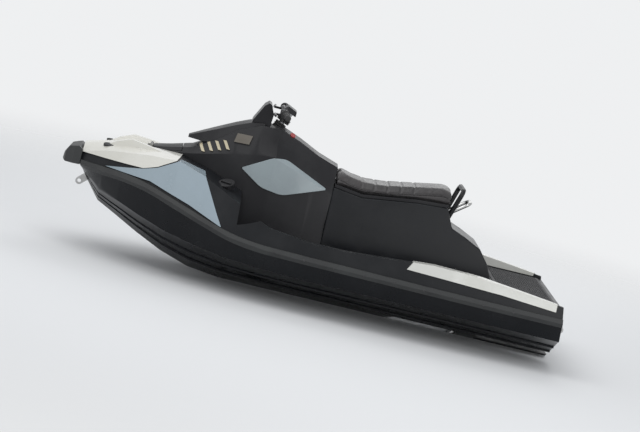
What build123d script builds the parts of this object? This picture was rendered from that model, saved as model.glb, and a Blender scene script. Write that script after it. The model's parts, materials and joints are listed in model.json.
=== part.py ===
from build123d import *
import os
from collections import namedtuple
from math import cos, radians, sin

# A light two-up personal watercraft with a water-jet drive, in millimetres.
# +X points to the bow, +Y to port and +Z up. The origin is on the centreline at mid-length, at the
# waterline. Stations are given as aft, the distance behind the front of the bow bumper, and heights
# as h, the height above the straight run of the keel.

# Whole craft
LENGTH = 2790.0
HALF_BEAM = 590.0
DRAFT = 185.0
TRANSOM_RAKE = 56.0
TRANSOM_TOP_H = 366.0

# Hull and deck mouldings
SKIN = 8.0
RAIL_PROUD = 16.0
RAIL_HEIGHT = 44.0
PANEL_GAP = 3.0
SEAT_GAP = 0.3

# Parting line between hull and deck, seen from the side
PARTING = [(-30, 440), (430, 452), (1010, 284), (2830, 272)]
PARTING_RADII = (900, 1100)

# Footwells and rear deck
WELL_FRONT = 985.0
WELL_FLOOR_H = 302.0
WELL_INNER = 232.0
WELL_OUTER = 512.0
WELL_RISE_AFT = 2240.0
REAR_DECK_AFT = 2335.0
REAR_DECK_H = 338.0
MAT = 5.0

# Engine bay
ENGINE_AFT = (1250.0, 1700.0)
ENGINE_H = (92.0, 460.0)
ENGINE_HALF = 150.0
BAY_CLEAR = 20.0

# Front bin and its lid
BIN_AFT = (462.0, 600.0)
BIN_HALF = 108.0
BIN_FLOOR_H = 500.0
BIN_WALL = 4.0
FRAME_AFT = (438.0, 624.0)
FRAME_HALF = 134.0
LID_AFT = (443.0, 612.0)
LID_HINGE = (446.0, 622.0)
LID_PIN_R = 4.0
LID_BARREL_R = 8.0
RUNNING = 0.05

# Steering
STEM_RAKE = 25.0
BAR_CENTRE = (1115.0, 945.0)
STEM_R = 16.0
HEAD_R = 24.0
BAR_R = 11.0
BAR_SIDES = 12
GRIP_R = 17.0
GRIP_END_Y = 345.0
GRIP_LENGTH = 125.0
BAR_SWEEP = 25.0

# Water jet
JET_H = 115.0
PUMP_AFT = 2380.0
PUMP_BORE_R = 75.0
PUMP_WALL = 8.0
PUMP_LENGTH = 120.0
FLANGE_R = 92.0
SHAFT_R = 12.0
BLADES = 4
VANES = 7
VENTURI_LENGTH = 80.0
VENTURI_EXIT_R = 44.0
NOZZLE_PIVOT_AFT = 2588.0
NOZZLE_END_AFT = 2668.0
NOZZLE_R = 58.0
NOZZLE_WALL = 4.0
NOZZLE_EXIT_R = 38.0
BUCKET_PIVOT_AFT = 2544.0
BUCKET_R = 140.0
BUCKET_HALF = 96.0
BUCKET_WALL = 6.0
PIVOT_PIN_R = 6.0
TUNNEL_HALF = 135.0
TUNNEL_TOP_H = 266.0
RIDE_PLATE_H = 20.0
DUCT_HALF = 78.0

Body = namedtuple(
    "Body",
    "aft keel chine_y chine_h spray_y spray_h bond_y bond_h shoulder_y shoulder_h crown_h",
)
BODY_STATIONS = [
    Body(100, 425, 50, 428, 75, 432, 135, 441, 118, 505, 548),
    Body(222, 264, 120, 330, 150, 345, 238, 445, 190, 545, 577),
    Body(371, 190, 205, 285, 245, 302, 335, 445, 272, 575, 600),
    Body(600, 78, 300, 215, 350, 234, 445, 404, 352, 602, 618),
    Body(925, 0, 392, 165, 448, 185, 530, 309, 455, 495, 540),
    Body(1150, 0, 420, 152, 482, 172, 560, 284, 530, 395, 425),
    Body(1500, 0, 435, 150, 500, 168, 572, 280, 555, 372, 380),
    Body(2100, 0, 435, 150, 500, 168, 574, 276, 560, 410, 416),
    Body(2790, 0, 425, 148, 488, 165, 548, 272, 530, 348, 354),
]

Tower = namedtuple("Tower", "aft base_y shoulder_y shoulder_h top_y top_h")
CONSOLE_STATIONS = [
    Tower(436, 78, 72, 598, 55, 614),
    Tower(625, 150, 138, 628, 108, 656),
    Tower(714, 190, 165, 650, 125, 692),
    Tower(930, 230, 190, 700, 122, 846),
    Tower(1090, 232, 208, 725, 112, 872),
    Tower(1300, 230, 190, 650, 102, 788),
    Tower(1440, 228, 176, 600, 96, 742),
]
CONSOLE_BASE_H = 300.0
CONSOLE_RISE = 8.0
BODY_SPANS = 15
BOW_BUNCHING = 1.5
CONSOLE_SPANS = 9
DEFLECTOR_SPANS = 5
CROWN_SIDES = 6
STRAKES = (0.34, 0.66)
STRAKE_WIDTH = 0.055


def x_at(aft):
    """Turn a distance behind the bow into a place along X."""
    return LENGTH / 2 - aft


def z_at(h):
    """Turn a height above the keel into a place along Z."""
    return h - DRAFT


def place(aft, y, h):
    """A point from its station, distance off the centreline and height."""
    return (x_at(aft), y, z_at(h))


def side_points(outline):
    """A side outline's points on the XZ plane."""
    return [(x_at(aft), z_at(h)) for aft, h in outline]


def side_prism(outline, y_from, y_to):
    """A solid with one side outline, between two distances off the centreline."""
    with BuildPart() as prism:
        with BuildSketch(Plane.XZ.offset(-y_from)):
            with BuildLine():
                Polyline(*side_points(outline), close=True)
            make_face()
        extrude(amount=y_from - y_to)
    return prism.part


def rounded_prism(outline, radii, y_from, y_to):
    """A solid with one side outline whose corners are rounded, between two distances off the centreline."""
    with BuildPart() as prism:
        with BuildSketch(Plane.XZ.offset(-y_from)):
            with BuildLine():
                FilletPolyline(*side_points(outline), radius=radii, close=True)
            make_face()
        extrude(amount=y_from - y_to)
    return prism.part


def block(aft_from, aft_to, y_from, y_to, h_from, h_to):
    """A square block between two stations, two distances off the centreline and two heights."""
    outline = [(aft_from, h_from), (aft_to, h_from), (aft_to, h_to), (aft_from, h_to)]
    return side_prism(outline, y_from, y_to)


def half_below_parting(drop):
    """All that lies below the parting line, lowered or raised by a distance."""
    with BuildPart() as below:
        with BuildSketch(Plane.XZ):
            with BuildLine():
                line = [(x_at(aft), z_at(h + drop)) for aft, h in PARTING]
                FilletPolyline(*line, radius=PARTING_RADII)
                Polyline(line[-1], (line[-1][0], z_at(-400)), (line[0][0], z_at(-400)), line[0])
            make_face()
        extrude(amount=HALF_BEAM + 100, both=True)
    return below.part


def faired(rows, aft):
    """The station at a distance aft, on smooth lines through the given stations' values."""
    index = max(i for i, row in enumerate(rows[:-1]) if row.aft <= aft)
    near = [rows[max(index - 1, 0)], *rows[index:index + 2], rows[min(index + 2, len(rows) - 1)]]
    span = near[2].aft - near[1].aft
    t = (aft - near[1].aft) / span
    values = []
    for before, first, last, after in zip(*near):
        rise = last - first
        slope_in = (last - before) / (near[2].aft - near[0].aft) * span
        slope_out = (after - first) / (near[3].aft - near[1].aft) * span
        slope_in *= (first - before) * rise > 0 or near[0] is near[1]
        slope_out *= (after - last) * rise > 0 or near[3] is near[2]
        values.append(first + rise * t * t * (3 - 2 * t)
                      + slope_in * t * (1 - t) ** 2 - slope_out * t * t * (1 - t))
    return type(near[1])(*values)


def sections(rows, count, bunching):
    """Evenly faired sections, closer together at the bow where bunching is over 1."""
    reach = rows[-1].aft - rows[0].aft
    return [faired(rows, rows[0].aft + reach * (k / count) ** bunching) for k in range(count + 1)]


def crown(half, edge_h, top_h):
    """A low arched top between two edges, as points from port to starboard."""
    ticks = [1 - 2 * k / CROWN_SIDES for k in range(CROWN_SIDES + 1)]
    return [(half * t, z_at(edge_h + (top_h - edge_h) * (1 - t * t))) for t in ticks]


def strake_points(row, side):
    """The lifting strakes of one section, each a flat ledge and a step up to the bottom."""
    reach = row.chine_y + side
    rise = row.chine_h - row.keel
    points = []
    for start in STRAKES:
        end = start + STRAKE_WIDTH
        low = z_at(row.keel + rise * start)
        points += [(reach * start, low), (reach * end, low), (reach * end, z_at(row.keel + rise * end))]
    return points


def body_form(side, top):
    """The outer form of hull and deck together, grown sideways and upwards."""
    with BuildPart() as form:
        for row in sections(BODY_STATIONS, BODY_SPANS, BOW_BUNCHING):
            with BuildSketch(Plane.YZ.offset(x_at(row.aft))):
                with BuildLine():
                    top_line = crown(row.shoulder_y + side, row.shoulder_h + top / 2, row.crown_h + top)
                    half = Polyline(
                        (0, z_at(row.keel)),
                        *strake_points(row, side),
                        (row.chine_y + side, z_at(row.chine_h)),
                        (row.spray_y + side, z_at(row.spray_h)),
                        (row.bond_y + side, z_at(row.bond_h)),
                        top_line[0],
                    )
                    mirror(half, about=Plane.YZ)
                    Polyline(*top_line)
                make_face()
        loft(ruled=True)
        add(transom_cut(), mode=Mode.SUBTRACT)
    return form.part


def transom_cut():
    """The wedge that rakes the transom."""
    beyond = LENGTH + 60
    outline = [(LENGTH, 0), (LENGTH - TRANSOM_RAKE, TRANSOM_TOP_H)]
    lean = TRANSOM_RAKE / TRANSOM_TOP_H
    outline += [(LENGTH - lean * 700, 700), (beyond, 700), (beyond, -60), (LENGTH + lean * 60, -60)]
    return side_prism(outline, -HALF_BEAM - 60, HALF_BEAM + 60)


def console_form(grow):
    """The outer form of the console, grown by a skin."""
    with BuildPart() as form:
        for row in sections(CONSOLE_STATIONS, CONSOLE_SPANS, 1):
            with BuildSketch(Plane.YZ.offset(x_at(row.aft))):
                with BuildLine():
                    top_line = crown(row.top_y + grow, row.top_h, row.top_h + CONSOLE_RISE)
                    half = Polyline(
                        (row.base_y + grow, z_at(CONSOLE_BASE_H)),
                        (row.shoulder_y + grow, z_at(row.shoulder_h)),
                        top_line[0],
                    )
                    mirror(half, about=Plane.YZ)
                    Line(half @ 0, ((half @ 0).X * -1, (half @ 0).Y))
                    Polyline(*top_line)
                make_face()
        loft(ruled=True)
    return form.part


# Master forms that the mouldings are cut from
BODY = body_form(0, 0)
BODY_SKIN = body_form(SKIN, SKIN) - BODY
BODY_RAIL = body_form(RAIL_PROUD, RAIL_PROUD) - BODY
BELOW = half_below_parting(0)
CONSOLE = console_form(0)
CONSOLE_SKIN = console_form(SKIN) - CONSOLE


def save(part, name):
    """Label a finished piece and write its file."""
    part.label = name
    export_step(part, f"parts/{name}.step")


os.makedirs("parts", exist_ok=True)

# Hull with its jet tunnel, intake duct, engine bay and shaft bore
BAY = (ENGINE_AFT[0] - BAY_CLEAR, ENGINE_AFT[1] + BAY_CLEAR, -ENGINE_HALF - BAY_CLEAR,
       ENGINE_HALF + BAY_CLEAR, ENGINE_H[0], ENGINE_H[1] + BAY_CLEAR)
DUCT = [(1870, -30), (1870, -5), (2215, 190), (PUMP_AFT + 1, 190), (PUMP_AFT + 1, 40), (2310, 40),
        (2240, -5), (2240, -30)]
with BuildPart() as hull:
    add(BODY)
    add(BELOW, mode=Mode.INTERSECT)
    add(block(*BAY), mode=Mode.SUBTRACT)
    add(block(PUMP_AFT, LENGTH + 20, -TUNNEL_HALF, TUNNEL_HALF, -20, TUNNEL_TOP_H), mode=Mode.SUBTRACT)
    add(side_prism(DUCT, -DUCT_HALF, DUCT_HALF), mode=Mode.SUBTRACT)
    with Locations(Plane(origin=place(ENGINE_AFT[1] - 5, 0, JET_H), z_dir=(-1, 0, 0))):
        Cylinder(SHAFT_R + RUNNING, PUMP_AFT - ENGINE_AFT[1], mode=Mode.SUBTRACT,
                 align=(Align.CENTER, Align.CENTER, Align.MIN))
save(hull.part, "hull")

# Everything of hull and deck above the parting line, with its engine bay
with BuildPart() as upper:
    add(BODY)
    add(BELOW, mode=Mode.SUBTRACT)
    add(block(*BAY), mode=Mode.SUBTRACT)

# Foredeck with a pocket for the moulded frame that the bin hangs in
AHEAD = [(-30, 200), (WELL_FRONT + 6, 200), (WELL_FRONT, WELL_FLOOR_H), (WELL_FRONT - 25, 700), (-30, 700)]
with BuildPart() as frame_pocket:
    add(BODY)
    add(block(*FRAME_AFT, -FRAME_HALF, FRAME_HALF, BIN_FLOOR_H, 700), mode=Mode.INTERSECT)
with BuildPart() as foredeck:
    add(upper.part)
    add(side_prism(AHEAD, -700, 700), mode=Mode.INTERSECT)
    add(frame_pocket.part, mode=Mode.SUBTRACT)
save(foredeck.part, "foredeck")
with BuildPart() as bin_frame:
    add(upper.part)
    add(block(FRAME_AFT[0] + SEAT_GAP, FRAME_AFT[1] - SEAT_GAP, -FRAME_HALF + SEAT_GAP,
              FRAME_HALF - SEAT_GAP, BIN_FLOOR_H, 700), mode=Mode.INTERSECT)
    add(block(*BIN_AFT, -BIN_HALF, BIN_HALF, BIN_FLOOR_H, 700), mode=Mode.SUBTRACT)
save(bin_frame.part, "bin_frame")

# Deck, which is the footwells' floor and the rear deck, and a gunwale along each side
WELL = [(WELL_FRONT - 25, 700), (WELL_FRONT, WELL_FLOOR_H), (WELL_RISE_AFT, WELL_FLOOR_H),
        (REAR_DECK_AFT, REAR_DECK_H), (LENGTH + 30, REAR_DECK_H), (LENGTH + 30, 700)]
with BuildPart() as deck:
    add(upper.part)
    add(side_prism(AHEAD, -700, 700), mode=Mode.SUBTRACT)
    add(side_prism(WELL, -WELL_OUTER, WELL_OUTER), mode=Mode.SUBTRACT)
    add(block(0, LENGTH + 30, WELL_OUTER, 700, 100, 700), mode=Mode.SUBTRACT)
    add(block(0, LENGTH + 30, -700, -WELL_OUTER, 100, 700), mode=Mode.SUBTRACT)
save(deck.part, "deck")
for name, y_from, y_to in [("gunwale_left", WELL_OUTER, 700), ("gunwale_right", -700, -WELL_OUTER)]:
    with BuildPart() as gunwale:
        add(upper.part)
        add(side_prism(AHEAD, -700, 700), mode=Mode.SUBTRACT)
        add(block(0, LENGTH + 30, y_from, y_to, 100, 700), mode=Mode.INTERSECT)
    save(gunwale.part, name)

# Bumper rail along the parting line
with BuildPart() as bumper_rail:
    add(BODY_RAIL)
    add(half_below_parting(RAIL_HEIGHT / 2), mode=Mode.INTERSECT)
    add(half_below_parting(-RAIL_HEIGHT / 2), mode=Mode.SUBTRACT)
    add(block(0, 104, -300, 300, 300, 600), mode=Mode.SUBTRACT)
save(bumper_rail.part, "bumper_rail")

# Blunt bow bumper
BUMPER = [(0, 440), (19, 432), (100, 438), (100, 520), (78, 534), (30, 520), (6, 480)]
with BuildPart() as bow_bumper:
    with BuildSketch(Plane.XY.offset(z_at(420))):
        with BuildLine():
            half = Polyline((x_at(100), 0), (x_at(100), 142), (x_at(60), 132), (x_at(14), 90))
            mirror(half, about=Plane.XZ)
            ThreePointArc(half @ 1, (x_at(0), 0), ((half @ 1).X, -(half @ 1).Y))
        make_face()
    extrude(amount=130)
    add(side_prism(BUMPER, -200, 200), mode=Mode.INTERSECT)
save(bow_bumper.part, "bow_bumper")

# Hood, its rear edge open in the middle for the console's nose
CREASE = [(100, 508), (210, 512), (438, 522), (510, 548), (600, 602)]
HOOD = CREASE + [(640, 640), (640, 720), (100, 720)]
RIDGE = [(190, 540), (205, 566), (268, 606), (341, 634), (426, 626), (511, 613), (570, 604), (570, 540)]
RIDGE_PLAN = [(190, 52), (190, 118), (570, 238), (570, 150)]
RIDGE_BASE_H = 545.0
RIDGE_HEIGHT = 120.0
RIDGE_DRAFT = 14.0
with BuildPart() as hood:
    add(BODY_SKIN)
    add(side_prism(HOOD, -500, 500), mode=Mode.INTERSECT)
    with BuildSketch(Plane.XY.offset(z_at(500))):
        with BuildLine():
            Polyline((x_at(424), 82), (x_at(424), -82), (x_at(650), -160), (x_at(650), 160), close=True)
        make_face()
    extrude(amount=200, mode=Mode.SUBTRACT)
    with BuildSketch(Plane.XY.offset(z_at(500))):
        with Locations((x_at(226), 105), (x_at(226), -105)):
            SlotOverall(46, 20, rotation=0)
    extrude(amount=200, mode=Mode.SUBTRACT)
    for side in (1, -1):
        with BuildPart(mode=Mode.PRIVATE) as ridge:
            with BuildSketch(Plane.XY.offset(z_at(RIDGE_BASE_H))):
                with BuildLine():
                    Polyline(*[(x_at(aft), side * y) for aft, y in RIDGE_PLAN], close=True)
                make_face()
            extrude(amount=RIDGE_HEIGHT, taper=RIDGE_DRAFT)
            add(side_prism(RIDGE, -300, 300), mode=Mode.INTERSECT)
        add(ridge.part)
    add(BODY, mode=Mode.SUBTRACT)
save(hood.part, "hood")

# Front fairings, one each side
FAIRING = [(240, 476), (438, 522 - PANEL_GAP), (512, 544), (604, 598), (672, 640), (754, 588),
           (869, 395), (906, 338), (715, 408), (489, 470)]
FAIRING_TOP_Y = 300.0
for side, name in [(1, "fairing_left"), (-1, "fairing_right")]:
    with BuildPart() as fairing:
        add(BODY_SKIN)
        reach = sorted((side * FAIRING_TOP_Y * 0.6, side * 700))
        add(side_prism(FAIRING, reach[0], reach[1]), mode=Mode.INTERSECT)
        add(half_below_parting(RAIL_HEIGHT / 2 + PANEL_GAP), mode=Mode.SUBTRACT)
        inner = sorted((0, side * FAIRING_TOP_Y))
        add(block(590, 800, inner[0], inner[1], 560, 700), mode=Mode.SUBTRACT)
    save(fairing.part, name)

# Rear fenders, one each side
FENDER = [(1870, 362), (1895, 388), (1960, 440), (2700, 440), (2700, 322), (2400, 345), (2090, 356)]
for side, name in [(1, "rear_fender_left"), (-1, "rear_fender_right")]:
    with BuildPart() as fender:
        add(BODY_SKIN)
        reach = sorted((side * (WELL_OUTER + 4), side * 700))
        add(side_prism(FENDER, reach[0], reach[1]), mode=Mode.INTERSECT)
    save(fender.part, name)

# Console, its nose holding the bin
LID_LINE = [(LID_AFT[0], 598), (LID_AFT[1], 634)]
LID_SPACE = LID_LINE + [(LID_AFT[1], 760), (LID_AFT[0] - 30, 760), (LID_AFT[0] - 30, 590)]
STEM_DIR = Vector(-sin(radians(STEM_RAKE)), 0, cos(radians(STEM_RAKE)))
STEM_PLANE = Plane(origin=place(BAR_CENTRE[0], 0, BAR_CENTRE[1]), x_dir=(0, 1, 0), z_dir=STEM_DIR)
HEAD_TOP = -62.0
HEAD_LENGTH = 160.0
with BuildPart() as console:
    add(CONSOLE)
    add(block(400, 1500, -400, 400, 100, WELL_FLOOR_H), mode=Mode.SUBTRACT)
    add(foredeck.part, mode=Mode.SUBTRACT)
    add(deck.part, mode=Mode.SUBTRACT)
    add(hull.part, mode=Mode.SUBTRACT)
    add(block(*BAY), mode=Mode.SUBTRACT)
    add(side_prism(LID_SPACE, -200, 200), mode=Mode.SUBTRACT)
    add(frame_pocket.part, mode=Mode.SUBTRACT)
    add(block(*BIN_AFT, -BIN_HALF, BIN_HALF, BIN_FLOOR_H, 700), mode=Mode.SUBTRACT)
    with BuildSketch(STEM_PLANE.offset(HEAD_TOP - HEAD_LENGTH)):
        Circle(HEAD_R)
    extrude(amount=HEAD_LENGTH + 60, mode=Mode.SUBTRACT)
save(console.part, "console")

# Storage bin and lid
with BuildPart() as storage_bin:
    fit = SEAT_GAP
    add(block(BIN_AFT[0] + fit, BIN_AFT[1] - fit, -BIN_HALF + fit, BIN_HALF - fit, BIN_FLOOR_H, 700))
    inner = BIN_WALL + fit
    add(block(BIN_AFT[0] + inner, BIN_AFT[1] - inner, -BIN_HALF + inner, BIN_HALF - inner,
              BIN_FLOOR_H + BIN_WALL, 720), mode=Mode.SUBTRACT)
    add(CONSOLE, mode=Mode.INTERSECT)
    add(side_prism(LID_SPACE, -200, 200), mode=Mode.SUBTRACT)
save(storage_bin.part, "storage_bin")

with BuildPart() as storage_lid:
    add(CONSOLE)
    lid_under = [(LID_AFT[0], 599), (LID_AFT[1] - PANEL_GAP, 635)]
    add(side_prism(lid_under + [(LID_AFT[1] - PANEL_GAP, 760), (LID_AFT[0], 760)], -200, 200),
        mode=Mode.INTERSECT)
    add(BODY, mode=Mode.SUBTRACT)
    add(block(LID_AFT[0] - 30, LID_HINGE[0] + 12, -200, 200, 590, 700), mode=Mode.SUBTRACT)
    with BuildSketch(Plane.XZ.offset(-35)):
        with Locations((x_at(LID_HINGE[0]), z_at(LID_HINGE[1]))):
            Circle(LID_BARREL_R)
        with Locations((x_at(LID_HINGE[0] + 9), z_at(LID_HINGE[1] - 5))):
            Rectangle(18, 6)
    extrude(amount=70)
    with BuildSketch(Plane.XZ.offset(-35)):
        with Locations((x_at(LID_HINGE[0]), z_at(LID_HINGE[1]))):
            Circle(LID_PIN_R + RUNNING)
    extrude(amount=70, mode=Mode.SUBTRACT)
save(storage_lid.part, "storage_lid")

with BuildPart() as lid_hinge:
    for y_mid in (44, -44):
        with BuildSketch(Plane.XZ.offset(-y_mid - 6)):
            with Locations((x_at(LID_HINGE[0]), z_at(LID_HINGE[1]))):
                Circle(LID_BARREL_R)
            with Locations((x_at(LID_HINGE[0]), z_at(LID_HINGE[1] - 12))):
                Rectangle(12, 24)
        extrude(amount=12)
    with BuildSketch(Plane.XZ.offset(-50)):
        with Locations((x_at(LID_HINGE[0]), z_at(LID_HINGE[1]))):
            Circle(LID_PIN_R)
    extrude(amount=100)
    add(CONSOLE & side_prism(LID_LINE + [(LID_AFT[1], 300), (LID_AFT[0] - 30, 300)], -200, 200),
        mode=Mode.SUBTRACT)
    add(BODY, mode=Mode.SUBTRACT)
save(lid_hinge.part, "lid_hinge")

# Deflector over the console's front, with its lip clear of the lid
Lip = namedtuple("Lip", "aft low_y low_h high_y high_h")
DEFLECTOR = [
    Lip(626, 40, 707, 30, 718),
    Lip(740, 112, 712, 78, 776),
    Lip(935, 150, 770, 104, 868),
    Lip(1010, 140, 800, 100, 880),
]
with BuildPart() as deflector:
    for row in sections(DEFLECTOR, DEFLECTOR_SPANS, 1):
        with BuildSketch(Plane.YZ.offset(x_at(row.aft))):
            with BuildLine():
                top_line = crown(row.high_y, row.high_h, row.high_h + 5)
                edge = Line((row.low_y, z_at(row.low_h)), top_line[0])
                mirror(edge, about=Plane.YZ)
                Line(edge @ 0, (-row.low_y, z_at(row.low_h)))
                Polyline(*top_line)
            make_face()
    loft(ruled=True)
    add(CONSOLE, mode=Mode.SUBTRACT)
save(deflector.part, "deflector")

# Side panels and louvres on the console's flanks
SIDE_PANEL = [(937, 632), (1092, 722), (1163, 730), (1410, 622), (1177, 539), (1060, 556)]
SIDE_PANEL_RADII = (6, 100, 100, 6, 120, 120)
LOUVRE_PATCH = [(868, 752), (950, 757), (960, 803), (878, 799)]
LOUVRES = 4
LOUVRE_STEP = 42.0
LOUVRE_RISE = 14.0
LOUVRE_WIDTH = 18.0
for side, word in [(1, "left"), (-1, "right")]:
    reach = sorted((0, side * 400))
    with BuildPart() as side_panel:
        add(CONSOLE_SKIN)
        add(rounded_prism(SIDE_PANEL, SIDE_PANEL_RADII, reach[0], reach[1]), mode=Mode.INTERSECT)
        add(BODY, mode=Mode.SUBTRACT)
    save(side_panel.part, f"side_panel_{word}")
    with BuildPart() as slats:
        for index in range(LOUVRES):
            low = 712 + index * LOUVRE_STEP
            h = 664 + index * LOUVRE_RISE
            slat = [(low, h), (low + LOUVRE_WIDTH, h), (low - 8, h + 40), (low - 26, h + 40)]
            add(side_prism(slat, reach[0], reach[1]))
        add(side_prism(LOUVRE_PATCH, reach[0], reach[1]))
    with BuildPart() as louvres:
        add(CONSOLE_SKIN)
        add(slats.part, mode=Mode.INTERSECT)
        add(deflector.part, mode=Mode.SUBTRACT)
        add(console.part, mode=Mode.SUBTRACT)
    save(louvres.part, f"louvres_{word}")

# Pedestal that carries the seat, its tail falling to the rear deck
PEDESTAL_TOP = [(1440, 642), (1600, 622), (1890, 664), (2060, 676)]
PEDESTAL_TAIL = [(2105, 580), (2180, 552), (2276, 508), (2330, 440), (2380, REAR_DECK_H)]
with BuildPart() as seat_pedestal:
    with BuildSketch(Plane.YZ.offset(x_at(2400))):
        with BuildLine():
            foot = z_at(WELL_FLOOR_H)
            half = Polyline((228, foot), (228, z_at(430)), (176, z_at(600)), (160, z_at(720)))
            mirror(half, about=Plane.YZ)
            Line(half @ 0, (-228, foot))
            Line(half @ 1, (-160, z_at(720)))
        make_face()
    extrude(amount=2400 - PEDESTAL_TOP[0][0])
    low = [(PEDESTAL_TAIL[-1][0], WELL_FLOOR_H), (PEDESTAL_TOP[0][0], WELL_FLOOR_H)]
    add(side_prism(PEDESTAL_TOP + PEDESTAL_TAIL + low, -300, 300), mode=Mode.INTERSECT)
    add(deck.part, mode=Mode.SUBTRACT)
    add(block(*BAY), mode=Mode.SUBTRACT)
save(seat_pedestal.part, "seat_pedestal")

# Seat base and cushion
SEAT_BASE_THICK = 18.0
base_low = [(1444.0, PEDESTAL_TOP[0][1])] + PEDESTAL_TOP[1:]
base_high = [(aft, h + SEAT_BASE_THICK) for aft, h in base_low]
with BuildPart() as seat_base:
    add(side_prism(base_low + base_high[::-1], -158, 158))
save(seat_base.part, "seat_base")

Seat = namedtuple("Seat", "aft low_h high_h")
SEAT_STATIONS = [
    Seat(1444, 661, 734),
    Seat(1520, 651, 708),
    Seat(1600, 640.5, 698),
    Seat(1700, 655, 706),
    Seat(1890, 682.5, 745),
    Seat(2020, 692, 772),
    Seat(2060, 694.5, 770),
    Seat(2075, 700, 756),
]
SEAT_HALF = 168.0
SEAT_EDGE = 26.0
with BuildPart() as seat_cushion:
    for row in SEAT_STATIONS:
        with BuildSketch(Plane.YZ.offset(x_at(row.aft))):
            with BuildLine():
                top_line = crown(SEAT_HALF - SEAT_EDGE - 12, row.high_h - 6, row.high_h)
                half = Polyline((SEAT_HALF - 8, z_at(row.low_h)), (SEAT_HALF, z_at(row.low_h + 16)),
                                (SEAT_HALF - 12, z_at(row.high_h - SEAT_EDGE)), top_line[0])
                mirror(half, about=Plane.YZ)
                Line(half @ 0, (-(half @ 0).X, (half @ 0).Y))
                Polyline(*top_line)
            make_face()
    loft(ruled=True)
    add(seat_base.part, mode=Mode.SUBTRACT)
save(seat_cushion.part, "seat_cushion")

# Grab handle behind the seat, with a lower tow loop
TUBE_SIDES = 10
with BuildPart() as grab_handle:
    with BuildLine():
        FilletPolyline(place(2076, 112, 620), place(2124, 128, 782), place(2124, -128, 782),
                       place(2076, -112, 620), radius=34)
    with BuildSketch(Plane(origin=place(2076, 112, 620), z_dir=Vector(-48, 16, 162))):
        RegularPolygon(13, TUBE_SIDES)
    sweep()
    add(seat_pedestal.part, mode=Mode.SUBTRACT)
save(grab_handle.part, "grab_handle")

with BuildPart() as tow_loop:
    with BuildLine():
        FilletPolyline(place(2080, 60, 640), place(2182, 60, 718), place(2182, -60, 718),
                       place(2080, -60, 640), radius=26)
    with BuildSketch(Plane(origin=place(2080, 60, 640), z_dir=Vector(-102, 0, 78))):
        RegularPolygon(10, TUBE_SIDES)
    sweep()
    add(seat_pedestal.part, mode=Mode.SUBTRACT)
save(tow_loop.part, "tow_loop")

# Traction mats
for side, name in [(1, "footwell_mat_left"), (-1, "footwell_mat_right")]:
    with BuildPart() as footwell_mat:
        inner = sorted((side * (WELL_INNER + 12), side * (WELL_OUTER - 12)))
        add(block(WELL_FRONT + 20, WELL_RISE_AFT - 12, inner[0], inner[1], WELL_FLOOR_H,
                  WELL_FLOOR_H + MAT))
    save(footwell_mat.part, name)
with BuildPart() as rear_deck_mat:
    add(block(2400, 2712, -480, 480, REAR_DECK_H, REAR_DECK_H + MAT))
save(rear_deck_mat.part, "rear_deck_mat")

# Instrument cluster with its display
CLUSTER = [(934, 850), (940, 884), (985, 972), (1006, 990), (1020, 984), (1042, 930), (1036, 850)]
with BuildPart() as instrument_cluster:
    add(side_prism(CLUSTER, -92, 92))
    add(console.part, mode=Mode.SUBTRACT)
    add(deflector.part, mode=Mode.SUBTRACT)
    add(side_prism([(1019, 978), (1037, 936), (1060, 946), (1040, 990)], -62, 62), mode=Mode.SUBTRACT)
save(instrument_cluster.part, "instrument_cluster")
with BuildPart() as display:
    add(side_prism([(1019.9, 977), (1037.1, 937), (1040.1, 938.3), (1022.9, 978.3)], -61.7, 61.7))
save(display.part, "display")

# Start and lanyard post on the console's port flank behind the bar
with BuildPart() as start_post:
    with BuildSketch(Plane(origin=place(1160, 92, 838), z_dir=(-0.3, 0.55, 0.8))):
        Circle(15)
    extrude(amount=22)
    with BuildSketch(Plane(origin=place(1160, 92, 838), z_dir=(-0.3, 0.55, 0.8))):
        Circle(11)
    extrude(amount=-20)
    add(console.part, mode=Mode.SUBTRACT)
save(start_post.part, "start_post")

# Fuel cap on the port shoulder ahead of the footwell
with BuildPart() as fuel_cap:
    with BuildSketch(Plane(origin=place(885, 330, 528), z_dir=(0.25, 0.35, 0.9))):
        Circle(44)
    extrude(amount=26)
    add(BODY, mode=Mode.SUBTRACT)
    add(console.part, mode=Mode.SUBTRACT)
save(fuel_cap.part, "fuel_cap")

# Steering head, stem, bar, pad, grips and levers
with BuildPart() as steering_head:
    with BuildSketch(STEM_PLANE.offset(HEAD_TOP - HEAD_LENGTH)):
        Circle(HEAD_R)
        Circle(STEM_R + RUNNING, mode=Mode.SUBTRACT)
    extrude(amount=HEAD_LENGTH + 6)
save(steering_head.part, "steering_head")

with BuildPart() as steering_stem:
    with BuildSketch(STEM_PLANE.offset(HEAD_TOP - HEAD_LENGTH + 10)):
        Circle(STEM_R)
    extrude(amount=HEAD_LENGTH + 6)
    with BuildSketch(STEM_PLANE.offset(HEAD_TOP + 16)):
        Circle(30)
    extrude(amount=-HEAD_TOP - 16 - BAR_R)
    with BuildSketch(STEM_PLANE):
        Rectangle(96, 40)
    extrude(amount=BAR_R + 8, both=True)
    with BuildSketch(Plane.XZ):
        with Locations((x_at(BAR_CENTRE[0]), z_at(BAR_CENTRE[1]))):
            Circle(BAR_R)
    extrude(amount=60, both=True, mode=Mode.SUBTRACT)
save(steering_stem.part, "steering_stem")

BAR_PATH = [(1115, 66, 945), (1085, 150, 968), (1112, GRIP_END_Y, 955)]
with BuildPart() as handlebar:
    with BuildLine():
        bar_points = [place(aft, y, h) for aft, y, h in BAR_PATH]
        far_points = [place(aft, -y, h) for aft, y, h in BAR_PATH]
        FilletPolyline(*bar_points[::-1], *far_points, radius=(45, 40, 40, 45))
    tip = Vector(*bar_points[2])
    with BuildSketch(Plane(origin=tip, z_dir=Vector(*bar_points[1]) - tip)):
        RegularPolygon(BAR_R, BAR_SIDES)
    sweep()
save(handlebar.part, "handlebar")

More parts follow.
